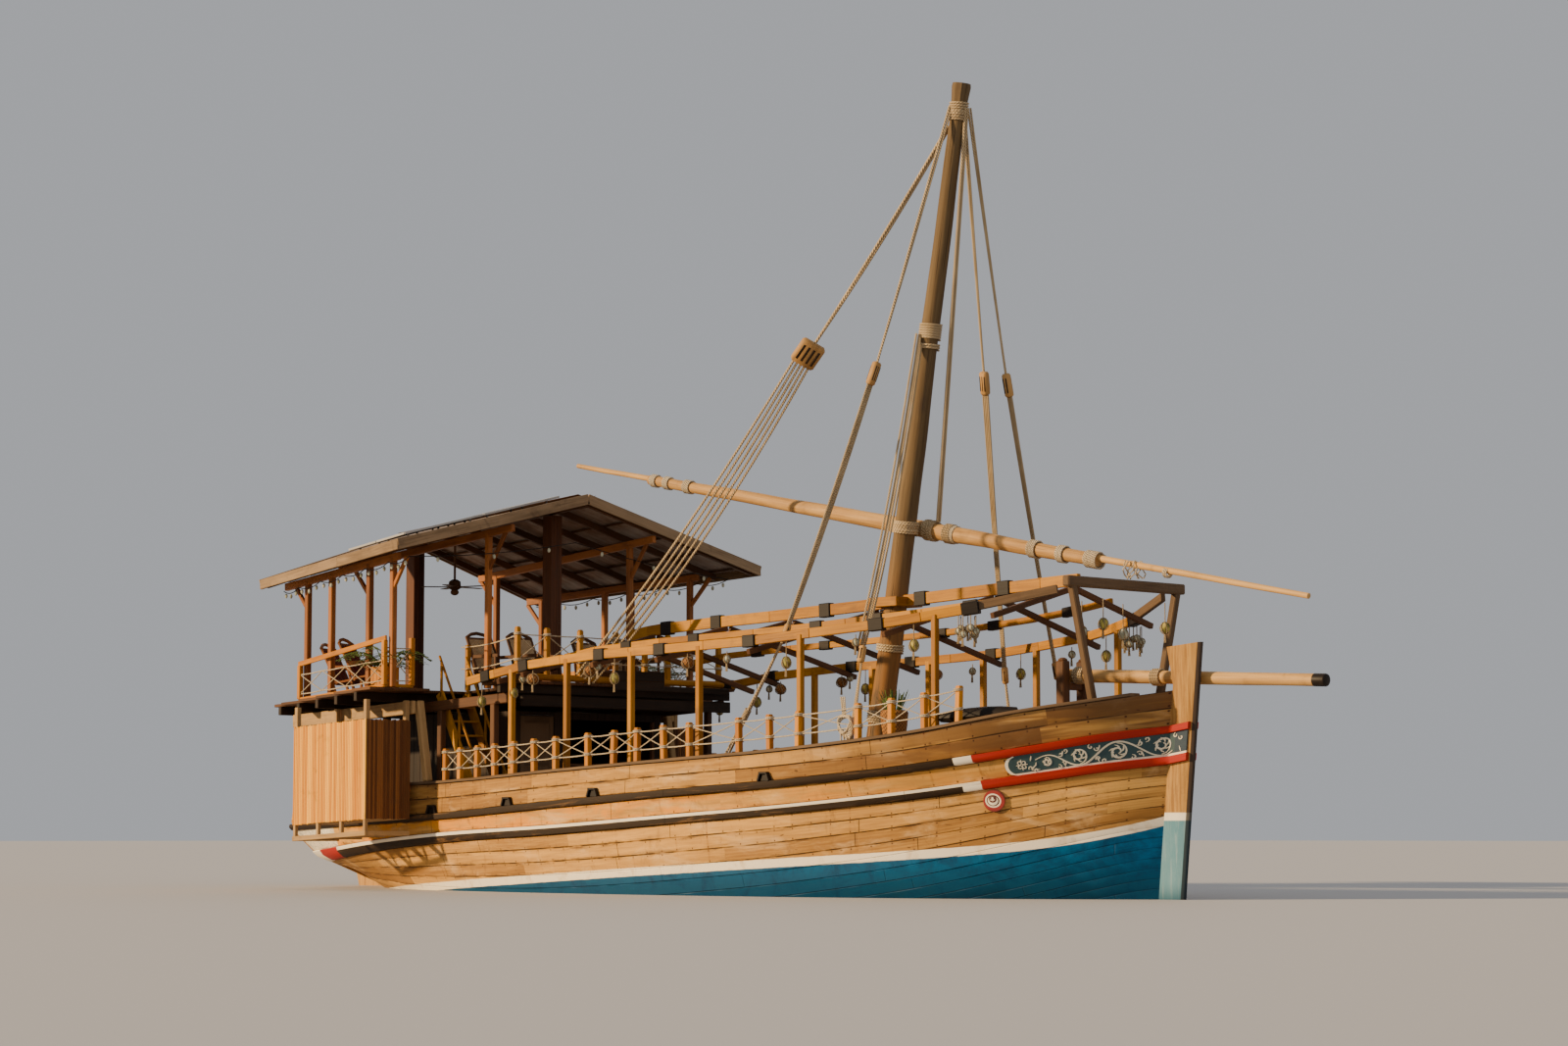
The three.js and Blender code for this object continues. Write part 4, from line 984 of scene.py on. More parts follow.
def scrolls(side):
    """A raised running vine with curls and leaves, and a flower at its aft end."""
    bm = fresh()

    def stroke(path, half, slim=0.45):
        rings, last = [], len(path) - 1
        for k, (a, b) in enumerate(path):
            before, after = path[max(k - 1, 0)], path[min(k + 1, last)]
            run = Vector((after[0] - before[0], after[1] - before[1], 0)).normalized()
            wide = half * lerp(slim, 1, math.sin(math.pi * k / last))
            shape = ((-1, 0.001), (-0.6, 0.013), (0.6, 0.013), (1, 0.001))
            rings.append([panel_point(side, a - run.y * wide * part, b + run.x * wide * part, PANEL_OUT + out)
                          for part, out in shape])
        sweep(bm, rings, lambda k, j: (k * 0.02, j * 0.02 + 10))

    def spiral(x, y, wide, start, turns, narrow=0.2, count=24):
        path = []
        for k in range(count):
            part = k / (count - 1)
            angle = start + turns * math.tau * part
            r = wide * lerp(1, narrow, part ** 0.9)
            path.append((x + math.cos(angle) * r, y + math.sin(angle) * r))
        return path

    centres = (0.74, 1.28, 1.86, 2.44)
    spacing = 0.58
    flower_x = 0.31

    def vine_y(x):
        swell = min(1, 0.45 + (x - 0.5) * 1.1)
        return -0.15 * swell * math.cos(math.pi * (x - centres[1]) / spacing)

    stroke([(lerp(0.56, 2.6, k / 80), vine_y(lerp(0.56, 2.6, k / 80))) for k in range(81)], 0.015)
    for number, x in enumerate(centres):
        up = 1 if number % 2 else -1
        size = 0.085 if number == 0 else 0.142
        stroke(spiral(x, up * 0.012, size, -up * math.pi / 2, up * 1.45), 0.015)
        for k in range(6):
            angle = math.tau * k / 6 + number
            leaf = [(x + math.cos(angle + 0.9 * part) * size * (0.36 + 0.48 * part),
                     up * 0.012 + math.sin(angle + 0.9 * part) * size * (0.36 + 0.48 * part))
                    for part in (0, 0.33, 0.66, 1)]
            stroke(leaf, 0.012, 0.3)
        for shift in (-0.29, -0.2, 0.2, 0.29):
            curl_y = up * (0.128 if abs(shift) < 0.25 else 0.08)
            stroke(spiral(x + shift, curl_y, 0.042, shift * 9, up * 0.9, 0.25, 9), 0.010)
        for shift in (-0.27, 0.27):
            leaf = [(x + shift + 0.03 * part, -up * (0.05 + 0.085 * part)) for part in (0, 0.4, 0.75, 1)]
            stroke(leaf, 0.010, 0.3)
    for k in range(4):
        angle = math.tau * (k + 0.5) / 4
        petal_x, petal_y = flower_x + math.cos(angle) * 0.055, math.sin(angle) * 0.055
        stroke(spiral(petal_x, petal_y, 0.042, angle + 2.4, 0.95, 0.5, 12), 0.009)
        leaf_x, leaf_y = math.cos(angle - 0.78), math.sin(angle - 0.78)
        stroke([(flower_x + leaf_x * r, leaf_y * r) for r in (0.02, 0.06, 0.1)], 0.010, 0.5)
    stroke([(0.46, -0.12), (0.5, -0.07), (0.545, -0.035), (0.56, 0.01)], 0.011, 0.3)
    stroke([(0.47, -0.125), (0.53, -0.115), (0.6, -0.125)], 0.011, 0.3)
    return bm


OCULUS_D = 2.27
OCULUS_R = 0.175
OCULUS_DROP = 0.26
# How far out of the hull, and the radius there
EYE_PROFILE = ((-0.03, 0.165), (0.0, 0.172), (0.02, 0.17), (0.026, 0.155), (0.02, 0.14), (0.022, 0.09),
               (0.034, 0.06), (0.036, 0.0015))


def oculus_centre():
    y, z = line_at(aft(OCULUS_D), lambda s: s["z_low"] - OCULUS_DROP)
    return Vector((aft(OCULUS_D), -y - 0.035, z))


def oculus_finish():
    """Dark red rings round a pale crescent and star."""
    f = Finish("painted_eye")
    centre = oculus_centre()
    x, _, z = f.parts(f.point())
    across, up = (x - centre.x) / OCULUS_R, (z - centre.z) / OCULUS_R
    worn = f.noise(f.point(), 9, 4, 0.7)

    def reach(left, low):
        return ((across - left) * (across - left) + (up - low) * (up - low)).power(0.5)

    r = reach(0, 0)
    colour = f.mix(worn, (0.10, 0.008, 0.006), (0.20, 0.016, 0.010))
    rings = ((0.86, (0.26, 0.012, 0.008)), (0.62, (0.80, 0.72, 0.55)), (0.50, (0.07, 0.008, 0.006)))
    for edge, shade in rings:
        colour = f.mix(1 - (r - edge).smooth(-0.015, 0.015), colour, shade)
    moon = (1 - (r - 0.42).smooth(-0.012, 0.012)) * (reach(0, 0.14) - 0.33).smooth(-0.012, 0.012)
    turn = up.maths("ARCTAN2", across)
    points = ((turn * 5 - 1.5708).maths("COSINE") * 0.06) + 0.13
    star = 1 - (reach(0, 0.12) - points).smooth(-0.01, 0.01)
    colour = f.mix(moon.most(star), colour, (0.80, 0.72, 0.55))
    return f.paint(colour, 0.5 + worn * 0.2, worn * 0.3, 0.002)


def oculus(side):
    centre = oculus_centre()
    centre.y *= -side
    fore, _ = line_at(centre.x + 0.4, lambda s: s["z_low"] - OCULUS_DROP)
    here, _ = line_at(centre.x, lambda s: s["z_low"] - OCULUS_DROP)
    way = Vector(((here - fore) / 0.4, side, -0.12)).normalized()
    bm = fresh()
    tube(bm, [centre + way * out for out, _ in EYE_PROFILE], [r for _, r in EYE_PROFILE], 32)
    return bm


WALES = wale_finish()
PANEL = panel_finish()
EYE = oculus_finish()
CREAM = timber("cream_relief_paint", (0.86, 0.80, 0.64), (0.62, 0.54, 0.38), 0.6, (0.2, 0.13, 0.08), 0.3)


def bow_paintwork():
    for side, name in SIDES:
        keep("lower_wale_boards_" + name, wale(side, "z_low", True), WALES,
             replaces=("lower_wale_" + name,), angle=50)
        keep("upper_wale_boards_" + name, wale(side, "z_high", False), WALES,
             replaces=("upper_wale_" + name,), angle=50)
        keep("bow_panel_board_" + name, panel(side), PANEL, replaces=("bow_panel_" + name,))
        keep("bow_panel_scrolls_" + name, scrolls(side), CREAM)
        keep("painted_eye_" + name, oculus(side), EYE, replaces=("oculus_" + name,), angle=50)


# Stem, stern and rudder


def stem_finish():
    f = Finish("stem_timber_paint")
    x, y, z = f.parts(f.point())
    along = f.noise(f.vector(x * 22, y * 22, z * 1.3), 1.0, 5, 0.62, 0.4)
    crack = f.noise(f.vector(x * 30, y * 30, z * 0.8), 1.0, 2, 0.4).smooth(0.68, 0.75)
    worn = f.noise(f.vector(x * 2, y * 2, z * 0.8), 1.5, 5, 0.7, 0.5)
    wood = f.mix(along.smooth(0.25, 0.75), (0.24, 0.11, 0.025), (0.50, 0.28, 0.08))
    wood = f.mix(worn.smooth(0.5, 0.72) * 0.6, wood, (0.20, 0.10, 0.04))
    pale = f.mix(worn, (0.04, 0.18, 0.25), (0.19, 0.33, 0.38))
    pale = f.mix(along.smooth(0.5, 0.7) * 0.35, pale, (0.42, 0.50, 0.50))
    white = f.mix(worn.smooth(0.5, 0.7) * 0.5, (0.82, 0.75, 0.6), (0.45, 0.3, 0.16))
    line = z - 1.27
    below = 1 - (line + 0.06).smooth(-0.01, 0.01)
    band = 1 - (line - 0.06).smooth(-0.01, 0.01)
    colour = f.mix(below, f.mix(band, wood, white), pale)
    deep = 1 - z.smooth(-0.15, 0.3)
    colour = f.mix(deep, colour, (0.002, 0.05, 0.09))
    # Painted shade: the stem's narrow front face is painted near black, where it lies in shade.
    edge = (x - z * STEM_RAKE - (BOW_X - 0.05)).smooth(0.0, 0.01) * (z > 0)
    colour = f.mix(edge * 0.9, colour, (0.012, 0.014, 0.02))
    colour = f.mix(crack * 0.6, colour, (0.04, 0.025, 0.018))
    return f.paint(colour, 0.65 + along * 0.2, along * 0.3 - crack, 0.004, shine=WOOD_SHINE)


def stem():
    rings = []

    def ring(back, front):
        """A cross-section from its back edge to its rounded front edge."""
        depth = (front - back).length
        forward = (front - back).normalized()
        half = ((0.0, KEEL_HALF), (depth * 0.5, lerp(KEEL_HALF, STEM_NOSE, 0.5)), (depth - 0.03, 0.056),
                (depth, 0.03))
        side = [back + forward * far + Vector((0, y, 0)) for far, y in half]
        return side + [Vector((point.x, -point.y, point.z)) for point in reversed(side)]

    for k in range(13):
        angle = math.pi / 2 * (1 - k / 12)
        back = Vector((KEEL_FORE[0] + (BOW_X - STEM_DEPTH - KEEL_FORE[0]) * math.cos(angle), 0,
                       KEEL_FORE[1] * math.sin(angle)))
        front = Vector((KEEL_FORE[0] + (BOW_X - KEEL_FORE[0]) * math.cos(angle), 0,
                        (KEEL_FORE[1] - 0.22) * math.sin(angle)))
        rings.append(ring(back, front))
    for k in range(1, 25):
        z = STEM_TOP * k / 24
        lean = max(0, (z - 3.3) / 0.64)
        back = Vector((stem_line(z) - 0.18 * lean, 0, z - 0.06 * lean))
        rings.append(ring(back, Vector((BOW_X + STEM_RAKE * z, 0, z))))
    bm = fresh()
    sweep(bm, rings, lambda k, j: (k * 0.17, j * 0.1))
    return bm


STEM = stem_finish()
IRON = timber("rusty_iron", (0.10, 0.055, 0.035), (0.03, 0.02, 0.016), 0.75, (0.16, 0.07, 0.03), 0.6, 0.1)


POST_HALF = 0.062
RUDDER_SETBACK = POST_HALF + 0.26 + 0.07


def rudder_lead(z):
    """The rudder's leading edge."""
    return post_line(z) - RUDDER_SETBACK


HINGE_HEIGHTS = (-1.3, -0.5, 0.25, 0.88)
STRAP = (0.012, 0.08, 0.004)
STRAP_Y, GUDGEON_Y = 0.062, 0.116


def stern_fittings():
    """Straps and pintles on the rudder, and gudgeons on the post."""
    on_rudder, on_boat = fresh(), fresh()
    for z in HINGE_HEIGHTS:
        x, post_x = rudder_lead(z), post_line(z - 0.12) - POST_HALF
        reach = 0.62 if z < 0.6 else 0.34
        for side in (-1, 1):
            y = side * STRAP_Y
            beam(on_rudder, (x - 0.004, y, z), (x - reach, y, z - 0.04), *STRAP)
            y = side * GUDGEON_Y
            beam(on_boat, (post_x - 0.33, y, z - 0.13), (post_x - 0.02, y, z - 0.11), *STRAP)
        tube(on_rudder, [(x + 0.035, 0, z + 0.05), (x + 0.06, 0, z - 0.02)], 0.028, 10)
        tube(on_boat, [(x + 0.072, 0, z - 0.16), (x + 0.045, 0, z - 0.10)], 0.028, 10)
    keep("rudder_straps", on_rudder, IRON, body="rudder")
    keep("stern_gudgeons", on_boat, IRON)


def stem_and_stern():
    keep("stem_timber", stem(), STEM, replaces=("stem_post",), angle=40)
    stern_fittings()


hull()
bow_paintwork()
stem_and_stern()


# Rail on the bulwark

RAIL_COLUMNS = 120
RAIL_LONG = 19.6
RAIL_ROPES = (0.2, 0.5)
RAIL_POSTS = (14.29, 13.84, 13.31, 12.79, 12.24, 11.65, 11.06, 10.2, 9.55, 8.96, 8.31, 7.71, 6.58, 5.92,
              5.34, 4.19, 3.6, 3.06, 2.53)


def rail_top(x):
    """Half-breadth and height of the bulwark's top at x."""
    s = station_at(x, lambda s: s["z_top"], 2.2)
    return s["top"], s["z_top"]


def rail_cap(side):
    rings = []
    for k in range(RAIL_COLUMNS + 1):
        t = lerp(0.002, 0.984, k / RAIL_COLUMNS)
        s = station(t)
        z = s["z_top"]
        inner, outer = max(0.05, s["top"] - BULWARK - 0.05), s["top"] + 0.038
        shape = ((inner, 0.004), (inner, 0.038), (inner + 0.012, 0.05), (outer - 0.012, 0.05), (outer, 0.038),
                 (outer, 0.004))
        wave = noise.noise(Vector((t * 40, side, 5))) * 0.004
        rings.append([hull_point(t, side * y, z) + up_by(up + wave) for y, up in shape])
    bm = fresh()
    girth = (0, 0.034, 0.05, 0.24, 0.26, 0.3, 0.6)
    sweep(bm, rings, lambda k, j: (k / RAIL_COLUMNS * RAIL_LONG, girth[j] + 10))
    return bm


def rail_places(side):
    places = []
    for d in RAIL_POSTS:
        y, z = rail_top(aft(d))
        places.append(Vector((aft(d), side * (y - BULWARK / 2), z + 0.045)))
    return places


def rail_posts(side):
    bm = fresh()
    for foot in rail_places(side):
        lean = Vector((rng.uniform(-0.012, 0.012), rng.uniform(-0.012, 0.012), 0.555))
        post(bm, foot, foot + lean, 0.095, 0.095, 0.009)
        cap = foot + lean
        post(bm, cap - up_by(0.006), cap + up_by(0.012), 0.078, 0.078, 0.006)
    return bm


def rope_fence(bm, a, b, low, high, r=0.011):
    """Two level ropes and a crossed pair between two posts."""
    for height in (low, high):
        tube(bm, slack(a + up_by(height), b + up_by(height), 0.012, 4), r, 6, rope=True)
    for start, end in ((low, high), (high, low)):
        tube(bm, slack(a + up_by(start), b + up_by(end), 0.006, 3), r * 0.85, 6, rope=True)


def rail_ropes(side):
    bm = fresh()
    places = rail_places(side)
    for a, b in zip(places, places[1:]):
        rope_fence(bm, a, b, *RAIL_ROPES)
    for place in places:
        for height in RAIL_ROPES:
            lashing(bm, place + up_by(height), (0, 0, 1), 0.058, 2, 0.011)
    return bm


def rope_finish(name, pale, deep):
    """Three strands; the map holds the length in radii and the turn round the rope."""
    f = Finish(name)
    along, turn, _ = f.mapped()
    x, y, z = f.parts(f.point())
    strand = ((along * 0.14 + turn) * 3 * math.tau).sine()
    dirt = f.noise(f.vector(x, y, z), 2.2, 4, 0.6)
    colour = f.mix((strand * 0.3 + dirt * 0.9 - 0.1).smooth(0.0, 0.9), deep, pale)
    return f.paint(colour, 0.85 + dirt * 0.1, strand, 0.006)


ROPE = rope_finish("natural_rope", (0.70, 0.54, 0.32), (0.30, 0.21, 0.11))
WHITE_ROPE = rope_finish("white_rope", (0.90, 0.80, 0.60), (0.50, 0.38, 0.23))


def rails():
    for side, name in SIDES:
        keep("rail_cap_" + name, rail_cap(side), GREY, replaces=("gunwale_" + name,), angle=50)
        keep("rail_posts_" + name, rail_posts(side), YELLOW)
        keep("rail_ropes_" + name, rail_ropes(side), WHITE_ROPE)


# Mast, yard and bowsprit

MAST_FOOT = Vector((aft(6.69), 0, 0))
MAST_HEAD = Vector((aft(4.56), 0, 13.45))
MAST_FOOT.z = deck_z(MAST_FOOT.x) + 0.003
YARD_AFT = Vector((aft(14.72), 0.39, 7.84))
YARD_FORE = Vector((aft(-2.13), 0.39, 4.54))
CROSSING_Z = 6.1


def mast_at(z):
    return MAST_FOOT.lerp(MAST_HEAD, (z - MAST_FOOT.z) / (MAST_HEAD.z - MAST_FOOT.z))


def yard_at(x):
    return YARD_AFT.lerp(YARD_FORE, (x - YARD_AFT.x) / (YARD_FORE.x - YARD_AFT.x))


def mast_finish():
    """A grey brown spar with long cracks, a warmer brown near the deck."""
    f = Finish("weathered_mast")
    along, across, _ = grain_of(f)
    x, y, z = f.parts(f.point())
    fine = f.noise(f.vector(along * 0.9, across * 26, 1), 1.0, 6, 0.62, 0.5)
    broad = f.noise(f.vector(along * 0.4, across * 4, 2), 1.0, 4, 0.6, 0.8)
    crack = f.noise(f.vector(along * 0.5, across * 30, 5), 1.0, 2, 0.4, 0.3).smooth(0.64, 0.72)
    wood = f.mix((fine * 0.6 + broad * 0.6 - 0.2).smooth(0.1, 0.9), (0.075, 0.045, 0.02), (0.22, 0.15, 0.072))
    wood = f.mix((1 - z.smooth(3.5, 6.5)) * broad.smooth(0.35, 0.6) * 0.7, wood, (0.29, 0.125, 0.03))
    stain = f.noise(f.vector(x * 2, y * 2, z * 0.7), 1.5, 4, 0.65).smooth(0.58, 0.75)
    wood = f.mix(stain * 0.5, wood, (0.07, 0.045, 0.03))
    wood = f.mix(crack * 0.75, wood, (0.035, 0.022, 0.015))
    return f.paint(wood, 0.65 + fine * 0.2, fine * 0.3 - crack * 1.2, 0.006, shine=WOOD_SHINE)


def mast():
    bm = fresh()
    neck = 13.0
    points, radii = [], []
    for k in range(49):
        z = lerp(MAST_FOOT.z + 0.01, neck, k / 48)
        sway = Vector((noise.noise(Vector((z * 0.6, 1, 0))), noise.noise(Vector((z * 0.6, 7, 0))), 0)) * 0.022
        points.append(mast_at(z) + sway * min(1, (neck - z) * 0.4) * min(1, (z - MAST_FOOT.z) * 0.5))
        radii.append(lerp(0.215, 0.126, k / 48))
    tube(bm, points, radii, 16, 0.04)
    tube(bm, [mast_at(z) for z in (12.9, 13.15, 13.38, 13.44)], (0.135, 0.138, 0.16, 0.15), 8)
    post(bm, mast_at(12.75), mast_at(13.41), 0.2, 0.2, 0.04)
    return bm


def mast_ropework():
    """Strops and seizings on the mast."""
    bm = fresh()
    way = MAST_HEAD - MAST_FOOT
    for z, turns in ((13.02, 5), (12.9, 4), (9.35, 6), (9.1, 2), (4.1, 3), (2.95, 5)):
        part = (z - MAST_FOOT.z) / (MAST_HEAD.z - MAST_FOOT.z)
        lashing(bm, mast_at(z), way, lerp(0.22, 0.128, part), turns, 0.02)
    return bm


def yard():
    bm = fresh()
    middle = yard_at(mast_at(CROSSING_Z).x)
    fore_end, aft_end = yard_at(aft(2.0)), yard_at(aft(12.7))

    def run(a, b, r0, r1, count, sway=0.012, lift=0.0):
        points, radii = [], []
        for k in range(count + 1):
            part = k / count
            bend = noise.noise(Vector((part * 4, r0 * 90, 2))) * sway
            points.append(a.lerp(b, part) + up_by(bend + lift))
            radii.append(lerp(r0, r1, part))
        tube(bm, points, radii, 14, 0.05)

    run(aft_end, middle, 0.088, 0.142, 16)
    run(middle - (middle - aft_end).normalized() * 0.02, fore_end, 0.142, 0.105, 14)
    run(YARD_AFT, yard_at(aft(11.6)), 0.042, 0.06, 8, 0.01, 0.02)
    run(yard_at(aft(3.6)), YARD_FORE, 0.062, 0.045, 12, 0.008, 0.035)
    return bm


# Distance aft, turns and radius
YARD_BANDS = ((12.55, 5, 0.098), (12.2, 5, 0.1), (11.65, 6, 0.105), (5.15, 6, 0.13), (3.35, 6, 0.13),
              (2.75, 5, 0.125), (2.1, 9, 0.122), (0.6, 3, 0.06))


def yard_ropework():
    """Seizings where the yard's spars overlap, and bands along it."""
    bm = fresh()
    way = YARD_FORE - YARD_AFT
    for d, turns, r in YARD_BANDS:
        lashing(bm, yard_at(aft(d)), way, r, turns, 0.014)
    return bm


def parrel():
    """The rope collar and the halyard's lashing where the yard crosses the mast."""
    bm = fresh()
    mast_way = (MAST_HEAD - MAST_FOOT).normalized()
    yard_way = (YARD_FORE - YARD_AFT).normalized()
    centre = mast_at(CROSSING_Z)
    for k in range(6):
        radius = 0.192 + 0.008 * math.sin(k * 2.1)
        lashing(bm, centre + mast_way * (k - 2.5) * 0.034, mast_way, radius, 1, 0.02)
    at_yard = yard_at(centre.x)
    for k in range(7):
        radius = 0.146 + 0.006 * math.sin(k * 1.7)
        lashing(bm, at_yard + yard_way * (0.14 + k * 0.036), yard_way, radius, 1, 0.019)
    for k in range(5):
        lashing(bm, at_yard + yard_way * (0.62 + k * 0.034), yard_way, 0.143, 1, 0.016)
    return bm


BOWSPRIT_Y = 0.236
BOWSPRIT_HEEL = Vector((aft(2.6), BOWSPRIT_Y, 3.529))
BOWSPRIT_END = Vector((aft(-2.56), BOWSPRIT_Y, 3.29))


def bowsprit():
    bm = fresh()
    parts = [k / 24 for k in range(24)]
    points = [BOWSPRIT_HEEL.lerp(BOWSPRIT_END, part) for part in parts]
    tube(bm, points, [lerp(0.108, 0.094, part) for part in parts], 14, 0.05)
    return bm


def bowsprit_end():
    """The tarred end of the bowsprit."""
    bm = fresh()
    way = (BOWSPRIT_END - BOWSPRIT_HEEL).normalized()
    start = BOWSPRIT_HEEL.lerp(BOWSPRIT_END, 23 / 24)
    points = [start - way * 0.01, start + way * 0.19, BOWSPRIT_END - way * 0.01, BOWSPRIT_END]
    tube(bm, points, (0.099, 0.099, 0.094, 0.08), 14)
    return bm


MAST = mast_finish()
SPAR = timber("pale_yard_spar", (0.60, 0.36, 0.13), (0.30, 0.155, 0.05), 0.6, (0.1, 0.05, 0.02), 0.35, 0.5)
TAR = timber("tarred_wood", (0.016, 0.010, 0.007), (0.007, 0.005, 0.004), 0.5, (0.02, 0.015, 0.012), 0.2, 0.2)


def spars():
    keep("mast_spar", mast(), MAST, replaces=("mast",), angle=40)
    keep("mast_ropework", mast_ropework(), ROPE)
    keep("yard_spars", yard(), SPAR, body="yard", replaces=("yard",), angle=40)
    keep("yard_ropework", yard_ropework(), WHITE_ROPE, body="yard")
    keep("parrel_ropes", parrel(), ROPE, body="yard", replaces=("parrel",))
    keep("bowsprit_spar", bowsprit(), SPAR, replaces=("bowsprit",), angle=40)
    keep("bowsprit_tarred_end", bowsprit_end(), TAR, angle=40)


# Standing rigging

STAY_HEAD_Z = 13.05


def pulley(wood, dark, at, way, wide, long, thick, sheaves, side):
    """A wooden block in line with its rope, with near black boxes in its sheave mouths as painted shade."""
    at, way, side = Vector(at), Vector(way).normalized(), Vector(side)
    side = (side - way * side.dot(way)).normalized()
    face = way.cross(side)
    beam(wood, at - way * long / 2, at + way * long / 2, wide, thick, min(wide, thick, long) * 0.24, up=face)
    # Painted shade: near black boxes stand in the sheave mouths, where there is only shade.
    for k in range(sheaves):
        middle = at + side * ((k + 0.5) / sheaves - 0.5) * wide * 0.86
        reach = way * long * 0.32
        beam(dark, middle - reach, middle + reach, wide / sheaves * 0.42, thick * 1.04, 0.004, up=face)
    return side


def stay_head(side, fore):
    return mast_at(STAY_HEAD_Z) + Vector((fore, side * 0.16, 0))


def tackle(rope, wood, dark, head, block, low, foot, falls, wide, side):
    """A pendant, a block, its falls down to a second block, and the tail that is made fast."""
    head, block, low, foot = (Vector(place) for place in (head, block, low, foot))
    tube(rope, slack(head, block, 0.02, 6), 0.021, 7, rope=True)
    tube(rope, slack(head + Vector((0.03, 0.03, 0)), block, 0.05, 6), 0.017, 7, rope=True)
    way = (low - block).normalized()
    across = pulley(wood, dark, block + way * 0.16, way, wide, 0.4, 0.13, max(1, falls - 1), side)
    pulley(wood, dark, low, way, max(0.1, wide * 0.6), 0.3, 0.11, max(1, falls - 2), side)
    for k in range(falls):
        spread = across * ((k + 0.5) / falls - 0.5)
        start, end = block + way * 0.3 + spread * wide * 0.9, low + spread * wide * 0.5
        tube(rope, slack(start, end, 0.05 + 0.02 * k, 8), 0.016, 6, rope=True)
    for k in range(2):
        tube(rope, slack(low + way * 0.1, foot + across * (k - 0.5) * 0.08, 0.01, 3), 0.02, 6, rope=True)
    lashing(rope, low.lerp(foot, 0.55), foot - low, 0.035, 7, 0.014)


def rigging():
    rope, wood, dark = fresh(), fresh(), fresh()
    tackle(rope, wood, dark, stay_head(-1, -0.06), (aft(5.29), -1.3, 8.67), (aft(6.2), -2.5, 4.25),
           (aft(7.45), -2.93, 1.85), 4, 0.15, (0, 1, 0))
    tackle(rope, wood, dark, stay_head(1, -0.06), (aft(5.1), 1.1, 8.72), (aft(5.97), 2.55, 3.72),
           (aft(5.95), 2.8, 1.95), 4, 0.16, (1, 0, 0))
    tackle(rope, wood, dark, stay_head(1, 0.06), (aft(4.6), 1.1, 8.64), (aft(4.72), 2.45, 3.75),
           (aft(4.7), 2.55, 2.1), 3, 0.14, (1, 0, 0))
    keep("shroud_tackles", rope, ROPE,
         replaces=("shroud_starboard", "shroud_port_aft", "shroud_port_fore"), angle=50)

    rope = fresh()
    head = mast_at(12.75) + Vector((-0.13, -0.06, 0))
    block, foot = Vector((aft(7.5), -0.55, 9.3)), Vector((aft(12.95), -0.95, 3.78))
    tube(rope, slack(head, block, 0.05, 8), 0.026, 8, rope=True)
    tube(rope, slack(head + Vector((0.02, 0.05, 0.02)), block, 0.09, 8), 0.022, 8, rope=True)
    way = (foot - block).normalized()
    across = pulley(wood, dark, block + way * 0.2, way, 0.44, 0.46, 0.16, 4, (0.72, 0.69, 0))
    for k in range(5):
        spread = across * ((k + 0.5) / 5 - 0.5)
        points = slack(block + way * 0.4 + spread * 0.36, foot + spread * 0.42, 0.2 + 0.03 * k, 12)
        tube(rope, points, 0.022, 7, rope=True)
    keep("backstay_tackle", rope, ROPE, replaces=("backstay",), angle=50)

    rope = fresh()
    top, low = mast_at(13.0) + Vector((0.16, 0, 0)), yard_at(mast_at(6.5).x + 0.3) + Vector((0, -0.06, 0.16))
    for k in range(2):
        start, end = top + Vector((0, 0.05 * k, 0)), low + Vector((0.05, 0.06 * k, 0))
        tube(rope, slack(start, end, 0.02, 6), 0.023, 7, rope=True)
    for k in range(4):
        shift = Vector((rng.uniform(-0.03, 0.03), 0.05 * k - 0.08, 0))
        upper = mast_at(9.3) + Vector((-0.05, -0.17, 0)) + shift
        lower = Vector((aft(4.6), -2.35, 4.0)) + shift
        tube(rope, slack(upper, lower, 0.25 + 0.05 * k, 10), 0.018, 6, rope=True)
    pulley(wood, dark, (aft(4.55), -2.42, 3.85), (0.05, -0.3, -1), 0.12, 0.28, 0.11, 2, (1, 0, 0))
    for k in range(3):
        cleat = (aft(4.5) + 0.05 * k, -2.86, 2.05)
        tube(rope, slack((aft(4.55), -2.42, 3.75), cleat, 0.01, 3), 0.016, 6, rope=True)
    keep("halyard_ropes", rope, ROPE, replaces=("halyard",), angle=50)
    keep("pulley_blocks", wood, SPAR, angle=60)
    # The near black boxes in the sheave mouths are painted shade.
    keep("pulley_mouth_shade", dark, DARK, angle=60)


# Awning frame

# Distance aft, ridge height and eave height
AWNING = ((12.8, 4.60, 3.84), (12.1, 4.69, 3.93), (10.2, 4.76, 4.03), (8.6, 4.80, 4.06), (6.5, 4.88, 4.12),
          (3.9, 4.99, 4.31), (2.2, 5.05, 4.56))
AWNING_POSTS = {-1: (12.56, 11.01, 9.35, 7.73, 5.55, 3.15), 1: (11.1, 9.64, 8.2, 6.83, 5.46, 3.16)}
PURLIN_PART = 0.52
EAVE_INSET = 0.13


def awning_height(d, column):
    """Height of the ridge (column 1) or eave (column 2), running straight on past the table's ends."""
    rows = AWNING
    k = next((i for i in range(1, len(rows) - 1) if d > rows[i][0]), len(rows) - 1)
    a, b = rows[k - 1], rows[k]
    return lerp(a[column], b[column], (d - a[0]) / (b[0] - a[0]))


def eave_point(d, side):
    x = aft(d)
    return Vector((x, side * (deck_half(x) - EAVE_INSET), awning_height(d, 2)))


def ridge_point(d):
    return Vector((aft(d), 0, awning_height(d, 1) - 0.025))


def purlin_point(d, side):
    x = aft(d)
    high, low = awning_height(d, 1), awning_height(d, 2)
    y = side * PURLIN_PART * (deck_half(x) - EAVE_INSET)
    return Vector((x, y, lerp(high, low, PURLIN_PART) - 0.065))


